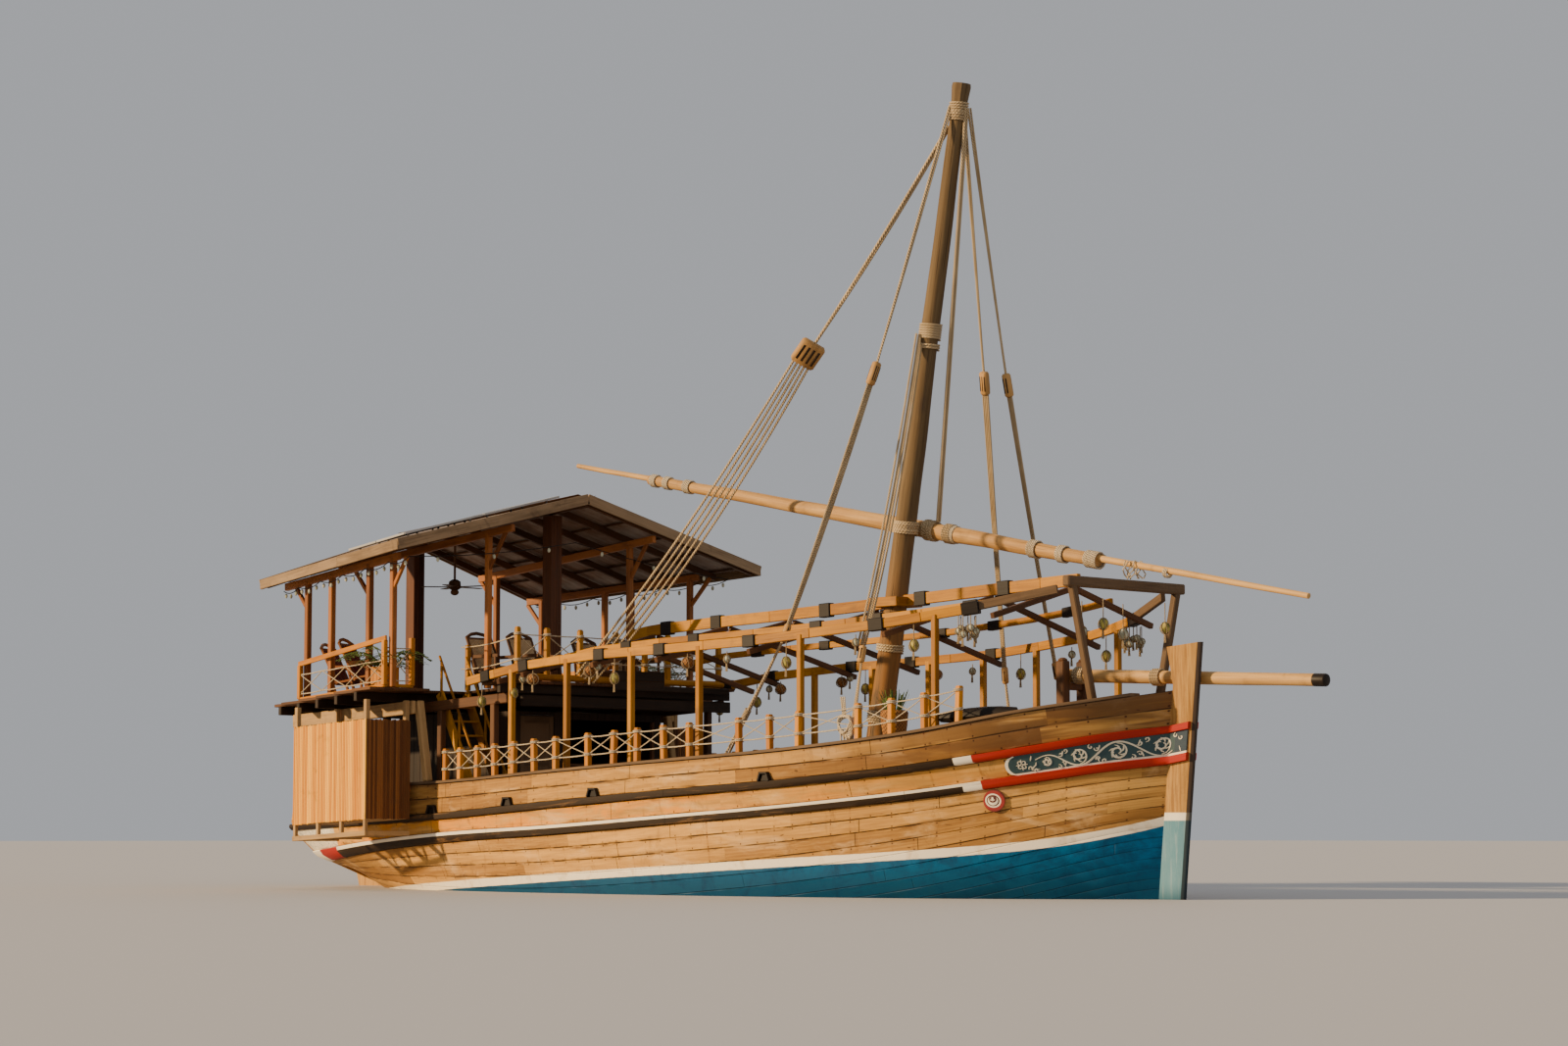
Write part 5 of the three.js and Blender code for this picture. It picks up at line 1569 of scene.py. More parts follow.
def jointed_beam(wood, joints, ends, place, wide, high, blocks):
    """A run of timbers between joints, each joint wrapped in a dark block."""
    stops = [ends[0], *joints, ends[1]]
    for a, b in zip(stops, stops[1:]):
        middle = (a + b) / 2
        beam(wood, place(a), place(middle), wide, high, 0.008)
        beam(wood, place(middle), place(b), wide, high, 0.008)
    for d in blocks:
        beam(DARK_BLOCKS, place(d + 0.13), place(d - 0.13), wide + 0.05, high + 0.05, 0.012)


DARK_BLOCKS = fresh()
EAVE_JOINTS = (12.19, 10.13, 8.63, 6.59, 4.12, 2.6)
RIDGE_JOINTS = (11.79, 10.48, 7.76, 5.52, 3.66)
PURLIN_JOINTS = (11.1, 9.36, 6.47, 5.18, 3.32)


def awning():
    for side, name in SIDES:
        eave = fresh()
        jointed_beam(eave, EAVE_JOINTS[:-1], (13.9, 2.6), lambda d: eave_point(d, side), 0.09, 0.15,
                     (13.31, *EAVE_JOINTS))
        grey = fresh()
        back, fore = eave_point(2.72, side) + up_by(0.015), eave_point(1.42, side) + up_by(0.105)
        beam(grey, back, fore, 0.085, 0.14, 0.01)
        keep("awning_fore_eave_" + name, grey, GREY)
        for d in AWNING_POSTS[side]:
            top = eave_point(d, side)
            foot = Vector((top.x, top.y, deck_z(top.x) + 0.01))
            post(eave, foot, top, 0.1, 0.1, 0.01)
        keep("awning_eave_" + name, eave, ORANGE, replaces=("awning_side_" + name,))

        purlins, rafters = fresh(), fresh()
        jointed_beam(purlins, PURLIN_JOINTS, (12.8, 2.2), lambda d: purlin_point(d, side), 0.07, 0.11,
                     PURLIN_JOINTS)
        for d, high, low in AWNING:
            eave_at = eave_point(d, side)
            rise = (high - low) / abs(eave_at.y)
            foot = Vector((eave_at.x, side * (abs(eave_at.y) + 0.13), low - 0.13 * rise - 0.15))
            top = Vector((eave_at.x, side * 0.05, high - 0.05 * rise - 0.15))
            beam(rafters, foot, top, 0.085, 0.09, 0.008, over=0.01)
        keep("awning_purlins_" + name, purlins, ORANGE)
        # The rafters take the dark brown timber, which is partly painted shade for their shaded sides.
        keep("awning_rafter_timbers_" + name, rafters, BROWN,
             replaces=("awning_rafters_" + name,))

    ridge = fresh()
    jointed_beam(ridge, RIDGE_JOINTS, (12.8, 2.08), ridge_point, 0.09, 0.19, RIDGE_JOINTS)
    x, _, z = mast_at(4.86)
    half, reach = 0.292, 0.32
    for side in (-1, 1):
        y, edge = side * half, x + side * half
        beam(ridge, (x - reach, y, z), (x + reach, y, z), 0.055, 0.16, 0.008)
        beam(ridge, (edge, -reach, z), (edge, reach, z), 0.055, 0.158, 0.008)
    keep("awning_ridge_timbers", ridge, ORANGE, replaces=("awning_ridge",))
    keep("awning_joint_blocks", DARK_BLOCKS, TAR)


# Bow gear


def bow_gear():
    frame_timber = fresh()
    x = aft(1.14)
    z = 4.89
    beam(frame_timber, (x, -1.42, z), (x, 1.42, z), 0.14, 0.165, 0.02)
    for side in (-1, 1):
        post(frame_timber, (x, side * 0.64, deck_z(x) + 0.02), (x, side * 1.27, z - 0.03), 0.12, 0.12, 0.016)
    keep("bow_frame_timbers", frame_timber, GREY, replaces=("bow_frame",))

    gear = fresh()
    x = aft(2.43)
    for side in (-1, 1):
        y = BOWSPRIT_Y + side * 0.245
        post(gear, (x, y, deck_z(x) + 0.005), (x, y, 3.75), 0.17, 0.17, 0.018)
        ball(gear, (x, y, 3.76), (0.16, 0.16, 0.09), 10)
    beam(gear, (x, 0.0, 3.35), (x, 0.472, 3.35), 0.12, 0.12, 0.01)
    keep("bitt_timbers", gear, BROWN, replaces=("bitts",))

    ropes = fresh()
    heel = Vector((aft(2.43), BOWSPRIT_Y, 3.52))
    for k in range(5):
        lashing(ropes, heel + Vector((0.1 + 0.04 * k, 0, 0)), (1, 0, -0.05), 0.112, 1, 0.018)
    for k in range(5):
        lashing(ropes, Vector((aft(0.75) + 0.036 * k, BOWSPRIT_Y, 3.44)), (1, 0, -0.05), 0.108, 1, 0.018)
    for turn in range(4):
        count = 20
        points = []
        for k in range(count + 1):
            angle = math.tau * k / count
            r = 0.34 - 0.03 * turn
            x, y = aft(3.5) + r * math.cos(angle), -1.1 + r * math.sin(angle)
            points.append((x, y, deck_z(aft(3.5)) + 0.05 + 0.035 * turn))
        tube(ropes, points, 0.022, 6, rope=True)
    keep("bow_ropes", ropes, ROPE)


rails()
spars()
rigging()
awning()
bow_gear()

# Upper deck

TRIM = 0.047
TRIM_FROM = aft(15.0)
DECK_TOP = 3.62
DECK_THICK = 0.06
JOIST = 0.16
JOIST_SPACING = 0.82
UPPER = {"fore": 13.0, "wing": 15.05, "aft": 19.1}
INNER_HALF, WING_HALF, STERN_HALF = 2.8, 4.25, 3.35
STAIRWELL = {"fore": 13.6, "aft": 15.35, "inner": 1.78}


def leaned(x, y, z):
    """A place in the works over the deck, which lie lower towards the stern."""
    return Vector((x, y, z + TRIM * (x - TRIM_FROM)))


def upper_z(x):
    return DECK_TOP + TRIM * (x - TRIM_FROM)


def wing_aft_end(y):
    """Where the wing deck's slanting edge cuts a board at y."""
    if abs(y) <= STERN_HALF:
        return UPPER["aft"]
    return UPPER["wing"] + (WING_HALF - abs(y)) / (WING_HALF - STERN_HALF) * (UPPER["aft"] - UPPER["wing"])


def deck_board_runs(y):
    """The stretches, as distances aft, that a deck board at y covers."""
    back = wing_aft_end(y)
    if abs(y) > INNER_HALF:
        return [(UPPER["wing"], back)]
    fore = UPPER["fore"] + max(0, -y - 2.48) / 0.32 * 0.35
    if y < -STAIRWELL["inner"]:
        return [(fore, STAIRWELL["fore"]), (STAIRWELL["aft"], back)]
    return [(fore, back)]


def upper_deck():
    boards, joists = fresh(), fresh()
    width = 0.17
    count = int(2 * WING_HALF / width)
    for k in range(count):
        y = (k + 0.5 - count / 2) * width
        for fore, back in deck_board_runs(y + math.copysign(0.05, y)):
            if back - fore < 0.15:
                continue
            z = DECK_TOP - DECK_THICK / 2 - 0.003 + rng.uniform(-0.002, 0.002)
            start, end = leaned(aft(back), y, z), leaned(aft(fore), y, z)
            beam(boards, start, end, width - 0.008, DECK_THICK - 0.008, 0.006)
    d = UPPER["fore"] + 0.15
    while d < UPPER["aft"]:
        wing = d >= UPPER["wing"]
        slant = (d - UPPER["wing"]) / (UPPER["aft"] - UPPER["wing"])
        half = WING_HALF - 0.06 - (WING_HALF - STERN_HALF) * slant if wing else INNER_HALF - 0.02
        z = DECK_TOP - DECK_THICK - JOIST / 2
        runs = [(-half, half)]
        if STAIRWELL["fore"] < d < STAIRWELL["aft"]:
            runs = [(-STAIRWELL["inner"] + 0.01, half)]
            if wing:
                runs.append((-half, -INNER_HALF - 0.01))
        for start, end in runs:
            beam(joists, leaned(aft(d), start, z), leaned(aft(d), end, z), 0.09, JOIST, 0.008)
        d += JOIST_SPACING
    keep("upper_deck_boards", boards, BROWN, replaces=("upper_deck",))
    # The joists under the upper deck take the near black boards, which are partly painted shade.
    keep("upper_deck_joists", joists, DARK)


def deck_supports():
    top = DECK_TOP - DECK_THICK - JOIST
    for side, name in SIDES:
        bm = fresh()
        y = side * 2.58
        beam(bm, leaned(aft(18.9), y, top - 0.09), leaned(aft(13.1), y, top - 0.09), 0.12, 0.178, 0.012)
        for d in (13.5, 15.0, 16.6):
            foot = Vector((aft(d), y, deck_z(aft(d)) + 0.006))
            post(bm, foot, (aft(d), y, leaned(aft(d), y, top - 0.17).z), 0.12, 0.12, 0.012)
        keep("upper_deck_supports_" + name, bm, BROWN, replaces=("upper_deck_side_" + name,))

        bm = fresh()
        y = side * 3.14
        beam(bm, leaned(aft(18.7), y, top - 0.125), leaned(aft(15.08), y, top - 0.125), 0.075, 0.235, 0.012)
        foot = Vector((aft(14.86), side * 2.99, rail_top(aft(14.86))[1] + 0.05))
        post(bm, foot, leaned(aft(15.12), side * 3.0, top - 0.01), 0.15, 0.13, 0.02)
        keep("wing_beam_" + name, bm, PALE)


def fore_rail():
    x, z = aft(13.07), upper_z(aft(13.07)) + 0.003
    ys = (-2.42, -1.74, -0.96, -0.11, 0.6, 1.17, 2.45)
    bm = fresh()
    points = []
    for k in range(25):
        part = k / 24
        points.append((x, lerp(-2.62, 2.55, part), z + 0.064 + 0.004 * math.sin(part * 9)))
    tube(bm, points, 0.062, 12, 0.05)
    for y in ys:
        post(bm, (x, y, z + 0.03), (x, y, z + 0.93), 0.09, 0.09, 0.009)
        post(bm, (x, y, z + 0.925), (x, y, z + 0.95), 0.07, 0.07, 0.008)
    keep("fore_rail_timbers", bm, ORANGE, replaces=("fore_rail",))
    ropes = fresh()
    for a, b in zip(ys, ys[1:]):
        rope_fence(ropes, Vector((x, a, z)), Vector((x, b, z)), 0.36, 0.82)
    for y in ys:
        for height in (0.36, 0.82):
            lashing(ropes, Vector((x, y, z + height)), (0, 0, 1), 0.055, 2, 0.011)
    newel = Vector((aft(15.35), -1.85, upper_z(aft(15.35))))
    for height in (0.4, 0.8):
        end = Vector((x, ys[0], z + height))
        tube(ropes, slack(newel + up_by(height), end, 0.05, 8), 0.011, 6, rope=True)
    keep("fore_rail_ropes", ropes, WHITE_ROPE)


def wing_rail(side, name):
    bm, ropes = fresh(), fresh()
    places = {"aft": (18.4, 3.235), "fore": (15.22, 3.715), "inner": (15.22, 3.1)}
    high = {"aft": 0.7, "fore": 0.88, "inner": 0.86}

    def on_deck(key, up):
        d, y = places[key]
        return Vector((aft(d), side * y, upper_z(aft(d)) + up))

    beam(bm, on_deck("aft", 0.04), on_deck("fore", 0.04), 0.06, 0.06, 0.008, over=0.02)
    beam(bm, on_deck("fore", 0.04), on_deck("inner", 0.04), 0.06, 0.06, 0.008, over=0.02)
    beam(bm, on_deck("aft", high["aft"]), on_deck("fore", high["fore"]), 0.04, 0.095, 0.008, over=0.06)
    for key in places:
        top = on_deck(key, high[key] + (0.05 if key == "inner" else -0.03))
        post(bm, on_deck(key, 0.045), top, 0.088, 0.088, 0.009)
    stops = [on_deck("aft", 0).lerp(on_deck("fore", 0), part) for part in (0, 0.27, 0.55, 0.78, 1)]
    for a, b in zip(stops, stops[1:]):
        rope_fence(ropes, a, b, 0.14, 0.5)
    rope_fence(ropes, on_deck("fore", 0), on_deck("inner", 0), 0.14, 0.72)
    keep("wing_rail_timbers_" + name, bm, YELLOW, replaces=("wing_rail_" + name,))
    keep("wing_rail_ropes_" + name, ropes, WHITE_ROPE)


def sign_board():
    """Two bare planks in a thin frame, and the dark beams behind them."""
    bm = fresh()
    x = aft(12.93)
    for k in range(2):
        z = 3.69 + 0.17 * k
        beam(bm, (x, -0.24, z), (x, 0.94, z), 0.026, 0.165, 0.004)
    for z in (3.612, 3.938):
        beam(bm, (x, -0.25, z), (x, 0.95, z), 0.04, 0.024, 0.004)
    for y in (-0.238, 0.938):
        post(bm, (x, y, 3.624), (x, y, 3.926), 0.04, 0.024, 0.004)
    keep("sign_board_planks", bm, DARK, replaces=("sign_board",))
    bm = fresh()
    x = aft(13.1)
    beam(bm, leaned(x, -2.3, 3.27), leaned(x, 2.75, 3.27), 0.09, 0.2, 0.01)
    beam(bm, leaned(aft(12.955), 0.0, 3.55), leaned(aft(12.955), 2.6, 3.55), 0.05, 0.1, 0.008)
    keep("upper_deck_header", bm, DARK)


def stair():
    y, half, rail = -2.13, 0.305, 0.64
    top = Vector((aft(15.24), y, DECK_TOP - 0.07))
    foot = Vector((aft(14.1), y, deck_z(aft(14.1)) + 0.11))
    bm = fresh()
    for side in (-1, 1):
        across = Vector((0, side * half, 0))
        up = up_by(rail)
        beam(bm, top + across, foot + across, 0.043, 0.2, 0.006)
        beam(bm, top + across + up, foot + across + up, 0.043, 0.043, 0.01, over=0.04)
        for part in (0.04, 0.5, 0.96):
            base = (top + across).lerp(foot + across, part)
            post(bm, base, base + up, 0.043, 0.043, 0.008)
    for k in range(1, 8):
        at = foot.lerp(top, k / 8)
        beam(bm, at - Vector((0, half + 0.008, 0)), at + Vector((0, half + 0.008, 0)), 0.215, 0.036, 0.006)
    newel = Vector((aft(15.3), -1.74, upper_z(aft(15.3)) + 0.004))
    post(bm, newel, newel + up_by(0.84), 0.085, 0.085, 0.01)
    keep("stair_timbers", bm, ORANGE, replaces=("stair",))


# Closets, cabin and what stands in the stern


def reed_finish(name, pale, deep):
    """Split reeds side by side; each number of the grain map is one of them."""
    f = Finish(name)
    along, across, piece = grain_of(f)
    tone = f.chance(f.vector(piece, 3, 0))
    fine = f.noise(f.vector(along * 3, across * 60, piece * 2.3), 1.0, 4, 0.6)
    broad = f.noise(f.vector(along * 1.3, piece * 1.7, 4), 1.0, 3, 0.5)
    colour = f.mix((tone * 0.75 + fine * 0.3 + broad * 0.35 - 0.2).smooth(0.0, 1.0), deep, pale)
    stain = f.noise(f.point(), 3.0, 4, 0.6).smooth(0.58, 0.75)
    colour = f.mix(stain * 0.35, colour, (0.12, 0.05, 0.02))
    return f.paint(colour, 0.6 + fine * 0.15, fine, 0.002, shine=WOOD_SHINE)


REED = reed_finish("golden_reeds", (0.95, 0.50, 0.050), (0.60, 0.22, 0.010))
# Browner reeds for the closets' end faces, made darker still as painted shade for those faces.
BROWN_AND_SHADED_REED = reed_finish("brown_and_shaded_reeds", (0.26, 0.10, 0.025), (0.07, 0.024, 0.008))
CLOSET = {"fore": 15.1, "aft": 17.27, "inner": 3.2, "outer": 4.2, "floor": 1.31, "top": 3.04, "sill": 0.98}


def closet(side, name):
    golden, brown, frame_timber = fresh(), fresh(), fresh()
    x0, x1 = aft(CLOSET["aft"]), aft(CLOSET["fore"])
    inner, outer, floor, top, sill = (CLOSET[key] for key in ("inner", "outer", "floor", "top", "sill"))

    def reeds(bm, start, end, z0, z1, count):
        start, end = Vector(start), Vector(end)
        for k in range(count):
            a = start.lerp(end, (k + 0.5) / count)
            width = (end - start).length / count - 0.003
            low, high = rng.uniform(-0.012, 0.004), rng.uniform(-0.01, 0.012)
            turn = (end - start).normalized().cross((0, 0, 1))
            foot, head = leaned(a.x, a.y, z0 + low), leaned(a.x, a.y, z1 + high)
            beam(bm, foot, head, 0.024, width, 0.009, up=turn.cross((0, 0, 1)))

    def level(x_a, x_b, y_a, y_b, z, wide, high, soft=0.004):
        """A level bar of the frame."""
        beam(frame_timber, leaned(x_a, side * y_a, z), leaned(x_b, side * y_b, z), wide, high, soft)

    def stud(x, y, low, high, thick):
        post(frame_timber, leaned(x, side * y, low), leaned(x, side * y, high), thick, thick, 0.008)

    face_y = side * (outer - 0.012)
    reeds(golden, (x0 + 0.01, face_y, 0), (x1 - 0.01, face_y, 0), floor - 0.04, top, 46)
    # The end faces take the browner reeds, which are partly painted shade.
    for x in (x1 - 0.012, x0 + 0.012):
        reeds(brown, (x, side * (outer - 0.03), 0), (x, side * inner, 0), floor - 0.03, top, 21)
    level(x0 + 0.03, x1 - 0.03, 3.7, 3.7, floor - 0.02, 0.94, 0.03)
    for z in (floor + 0.12, (floor + top) / 2, top - 0.06):
        level(x0 + 0.03, x1 - 0.03, outer - 0.045, outer - 0.045, z, 0.04, 0.07)
        for x in (x0 + 0.045, x1 - 0.045):
            level(x, x, outer - 0.07, inner + 0.01, z, 0.04, 0.07)
    underside = DECK_TOP - DECK_THICK - JOIST - 0.004
    for x in (x0 + 0.06, x1 - 0.06):
        for y in (outer - 0.06, inner + 0.06):
            stud(x, y, floor, underside, 0.088)
    level(x0, x1, outer - 0.04, outer - 0.04, sill + 0.045, 0.078, 0.088, 0.008)
    for k in range(4):
        x = lerp(x0 + 0.05, x1 - 0.05, k / 3)
        level(x, x, outer - 0.02, inner, sill + 0.044, 0.088, 0.086, 0.008)
        stud(x, outer - 0.045, sill + 0.03, floor - 0.01, 0.068)
    keep("closet_reeds_" + name, golden, REED, replaces=("closet_" + name,))
    keep("closet_end_reeds_" + name, brown, BROWN_AND_SHADED_REED)
    keep("closet_frame_" + name, frame_timber, PALE)


def cabin():
    x0, x1 = aft(17.3), aft(13.9)
    half, wall = 1.76, 0.06
    base = deck_z(x1) + 0.006
    top = DECK_TOP - DECK_THICK - JOIST - 0.19
    sill = deck_z(x1) + 0.06
    bm = fresh()
    door_y = (-1.65, -0.85)
    window = ((-0.6, 1.56), (sill + 0.85, sill + 1.65))

    def board_wall(start, end, z0, z1, inset):
        start, end = Vector(start), Vector(end)
        count = max(1, round((end - start).length / 0.19))
        for k in range(count):
            a = start.lerp(end, k / count)
            b = start.lerp(end, (k + 1) / count)
            middle = (a + b) / 2
            width = (b - a).length - 0.004
            way = (b - a).normalized()
            beam(bm, (middle.x, middle.y, z0), (middle.x, middle.y, z1), inset, width, 0.004, up=way)

    def flat_wall(x, y_range, z_range):
        board_wall((x, y_range[0], 0), (x, y_range[1], 0), *z_range, wall - 0.01)

    for y in (-half + wall / 2, half - wall / 2):
        board_wall((x0 + wall, y, 0), (x1 - wall, y, 0), base, top, wall - 0.01)
    flat_wall(x0 + wall / 2, (-half, half), (base, top))
    front = x1 - wall / 2
    flat_wall(front, (-half, door_y[0]), (base, top))
    flat_wall(front, (door_y[1], window[0][0]), (base, top))
    flat_wall(front, (window[0][1], half), (base, top))
    flat_wall(front, door_y, (sill + 1.72, top))
    flat_wall(front, window[0], (base, window[1][0]))
    if top - window[1][1] > 0.03:
        flat_wall(front, window[0], (window[1][1], top))
    # The cabin's walls take the near black boards, which are partly painted shade for the shade under the
    # upper deck.
    keep("cabin_boards", bm, DARK, replaces=("cabin_walls",))

    bm = fresh()
    x, z = front + 0.035, window[1][0] - 0.02
    beam(bm, (x, window[0][0] - 0.05, z), (x, window[0][1] + 0.05, z), 0.16, 0.05, 0.008)
    for y in window[0]:
        beam(bm, (front, y, window[1][0]), (front, y, window[1][1]), 0.075, 0.06, 0.006, up=(0, 1, 0))
    for y in (-0.65, 0.1, 0.85):
        beam(bm, (x0 + 0.35, y, base + 0.5), (x0 + 0.35, y + 0.5, base + 0.5), 0.4, 0.9, 0.02)
    keep("cabin_window_frame", bm, BROWN)

    bm = fresh()
    x = x1 - 0.03
    low, high = sill + 0.012, sill + 1.7
    beam(bm, (x, door_y[0] + 0.4, low), (x, door_y[0] + 0.4, high), 0.026, 0.78, 0.004, up=(0, 1, 0))
    for y in (door_y[0] + 0.06, door_y[1] - 0.06):
        beam(bm, (x, y, low + 0.002), (x, y, high - 0.002), 0.038, 0.1, 0.004, up=(0, 1, 0))
    for z in (low + 0.08, low + 0.85, high - 0.07):
        beam(bm, (x, door_y[0] + 0.1, z), (x, door_y[1] - 0.1, z), 0.037, 0.12, 0.004)
    keep("cabin_door_leaf", bm, GREY, body="cabin_door", replaces=("cabin_door",))


# Roof

ROOF = {"fore": 14.0, "aft": 19.4, "half_fore": 4.375, "half_aft": 3.4}
ROOF_Z = {"apex_fore": 7.24, "eave_fore": 6.15, "apex_aft": 6.86, "eave_aft": 5.77}
ROOF_THICK = 0.045
RAFTER_HIGH, RAFTER_WIDE = 0.12, 0.07
RAFTER_PARTS = (0.02, 0.18, 0.34, 0.5, 0.66, 0.82, 0.98)
PLATE_Y, WING_PLATE_PART = 1.72, 0.865
# Where the plates end and their posts stand, as parts of the roof's length
PLATES = {
    "roof_plate": {"ends": (0.01, 0.97), "starboard": (0.139, 0.796), "port": (0.139, 0.87)},
    "roof_wing_plate": {"ends": (0.17, 0.97), "starboard": (0.207, 0.367, 0.633, 0.806),
                        "port": (0.207, 0.476, 0.6, 0.9)},
}


def roof_half(t):
    return lerp(ROOF["half_fore"], ROOF["half_aft"], t)


def roof_point(t, side, part):
    """t runs aft along the roof and part from the ridge down to the eave."""
    apex = lerp(ROOF_Z["apex_fore"], ROOF_Z["apex_aft"], t)
    eave = lerp(ROOF_Z["eave_fore"], ROOF_Z["eave_aft"], t)
    x = lerp(aft(ROOF["fore"]), aft(ROOF["aft"]), t)
    return Vector((x, side * roof_half(t) * part, lerp(apex, eave, part)))


def sheet_finish():
    """Corrugated iron, galvanised on top, with rust that runs down the slope."""
    f = Finish("rusty_corrugated_sheet")
    x, y, _ = f.parts(f.point())
    run = f.noise(f.vector(x * 7, y * 0.8, 2), 1.0, 5, 0.6, 0.6)
    patch = f.noise(f.vector(x * 1.3, y * 1.3, 5), 1.0, 4, 0.6)
    seam = f.noise(f.vector(x * 0.9, 0, 9), 1.0, 2, 0.5)
    bright = (run * 0.7 + patch * 0.6 - 0.25).smooth(0.15, 0.8)
    colour = f.mix(bright, (0.16, 0.085, 0.05), (0.50, 0.46, 0.41))
    colour = f.mix(seam.smooth(0.5, 0.7) * 0.4, colour, (0.62, 0.58, 0.52))
    return f.paint(colour, 0.5 + run * 0.3)


def cell_finish():
    """Dark cells between thin pale lines; the map runs from 0 to 1 over each panel."""
    f = Finish("solar_cells")
    u, v, _ = f.mapped()
    across = abs((u * 6).fract() - 0.5).smooth(0.465, 0.485)
    down = abs((v * 10).fract() - 0.5).smooth(0.455, 0.475)
    line = across.most(down)
    colour = f.mix(line, (0.008, 0.012, 0.032), (0.30, 0.32, 0.36))
    return f.paint(colour, 0.22 + line * 0.3)


SHEET = sheet_finish()
CELLS = cell_finish()
STEEL = timber("galvanised_steel", (0.42, 0.42, 0.42), (0.28, 0.28, 0.28), 0.45, (0.2, 0.12, 0.08), 0.3, 0.0)
WEATHERED = timber("weathered_edge_boards", (0.34, 0.23, 0.13), (0.12, 0.075, 0.04), 0.75, wear=0.6,
                   cracks=0.6)
POST_WOOD = timber("red_brown_post_timber", (0.40, 0.14, 0.03), (0.14, 0.045, 0.012), 0.55)
# Dark column boards, made darker still as painted shade for the columns under the roof.
COLUMN_AND_SHADE = timber("dark_and_shaded_column_boards", (0.12, 0.04, 0.014), (0.035, 0.013, 0.006), 0.6)


def roof_skin():
    bm = fresh()
    count, waves = 432, 72
    rings = []
    for k in range(count + 1):
        t = k / count
        wave = 0.008 * math.sin(math.tau * waves * t) - 0.008
        top = [roof_point(t, -1, 1), roof_point(t, -1, 0.03), roof_point(t, 1, 0.03), roof_point(t, 1, 1)]
        ring = [p + up_by(wave) for p in top]
        ring += [p + up_by(wave - 0.012) for p in reversed(top)]
        rings.append(ring)
    sweep(bm, rings, lambda k, j: (k / count * 5.4, j * 0.7))
    keep("roof_corrugated_sheet", bm, SHEET, replaces=("roof_skin",), angle=60)
    bm = fresh()
    for side in (-1, 1):
        for part in (0.08, 0.3, 0.52, 0.74, 0.96):
            a, b = roof_point(0.004, side, part), roof_point(0.996, side, part)
            down = up_by(-0.048)
            beam(bm, a + down, b + down, 0.06, 0.03, 0.004)
    ridge = [roof_point(t, 0, 0) + up_by(-0.008) for t in (0.002, 0.998)]
    for side in (-1, 1):
        over = Vector((0, side * 0.11, -0.022))
        beam(bm, ridge[0] + over, ridge[1] + over, 0.22, 0.006, 0.002, up=(0, -side * 0.25, 1))
    keep("roof_battens", bm, BROWN)


def roof_frame():
    bm = fresh()
    down = ROOF_THICK + RAFTER_HIGH / 2 + 0.018
    drop = up_by(-down)
    ridge_drop = up_by(-down - 0.03)
    fore, back = roof_point(0.005, 0, 0) + ridge_drop, roof_point(0.995, 0, 0) + ridge_drop
    beam(bm, fore, back, 0.09, RAFTER_HIGH + 0.04, 0.01)
    for t in RAFTER_PARTS:
        for side in (-1, 1):
            head, eave = roof_point(t, side, 0.012) + drop, roof_point(t, side, 0.985) + drop
            beam(bm, head, eave, RAFTER_WIDE, RAFTER_HIGH, 0.008)
    keep("roof_rafter_timbers", bm, BROWN, replaces=("roof_rafters",))

    bm = fresh()
    out, high = 0.026, 0.19

    def edge(t, side, part):
        p = roof_point(t, side, part)
        return Vector((p.x + (out if t == 0 else -out), p.y + side * part * out, p.z - high / 2 + 0.012))

    for side in (-1, 1):
        a, b = edge(0, side, 1), edge(1, side, 1)
        middle = a.lerp(b, 0.42)
        beam(bm, a, middle, 0.036, high, 0.006, over=0.004)
        beam(bm, middle.lerp(b, 0.004), b, 0.034, high - 0.012, 0.006, over=0.004)
        for t in (0, 1):
            beam(bm, edge(t, 0, 0), edge(t, side, 1), 0.036, high, 0.006, over=0.004)
    keep("roof_edge_boards", bm, WEATHERED, replaces=("roof_fascia",))


def roof_supports():
    down = up_by(-(ROOF_THICK + RAFTER_HIGH + 0.044 + 0.07))
    for side, name in SIDES:
        for plate, rows in PLATES.items():
            bm = fresh()

            def plate_at(t):
                part = PLATE_Y / roof_half(t) if plate == "roof_plate" else WING_PLATE_PART
                return roof_point(t, side, part) + down

            beam(bm, plate_at(rows["ends"][0]), plate_at(rows["ends"][1]), 0.088, 0.138, 0.01)
            for t in rows[name]:
                top = plate_at(t)
                post(bm, (top.x, top.y, upper_z(top.x) + 0.008), top, 0.108, 0.108, 0.012)
                for way in (-1, 1):
                    if (t == rows[name][0] and way < 0) or (t == rows[name][-1] and way > 0):
                        far = plate_at(min(0.97, max(0.01, t + way * 0.09)))
                        low = top.lerp(Vector((top.x, top.y, upper_z(top.x))), 0.24)
                        beam(bm, low, far - up_by(0.05), 0.06, 0.075, 0.008)
            keep(plate + "_timbers_" + name, bm, POST_WOOD, replaces=(plate + "_" + name,))
    for name, d, y in (("fore", 14.99, 0.0), ("aft", 18.95, -0.12)):
        bm = fresh()
        x = aft(d)
        t = (d - ROOF["fore"]) / (ROOF["aft"] - ROOF["fore"])
        low, top = upper_z(x) + 0.014, roof_point(t, 0, 0).z - ROOF_THICK - RAFTER_HIGH - 0.095
        for k in range(4):
            across = (k - 1.5) * 0.0645
            beam(bm, (x, y + across, low), (x, y + across, top), 0.256, 0.062, 0.006, up=(0, 1, 0))
        keep("roof_column_boards_" + name, bm, COLUMN_AND_SHADE, replaces=("roof_column_" + name,))


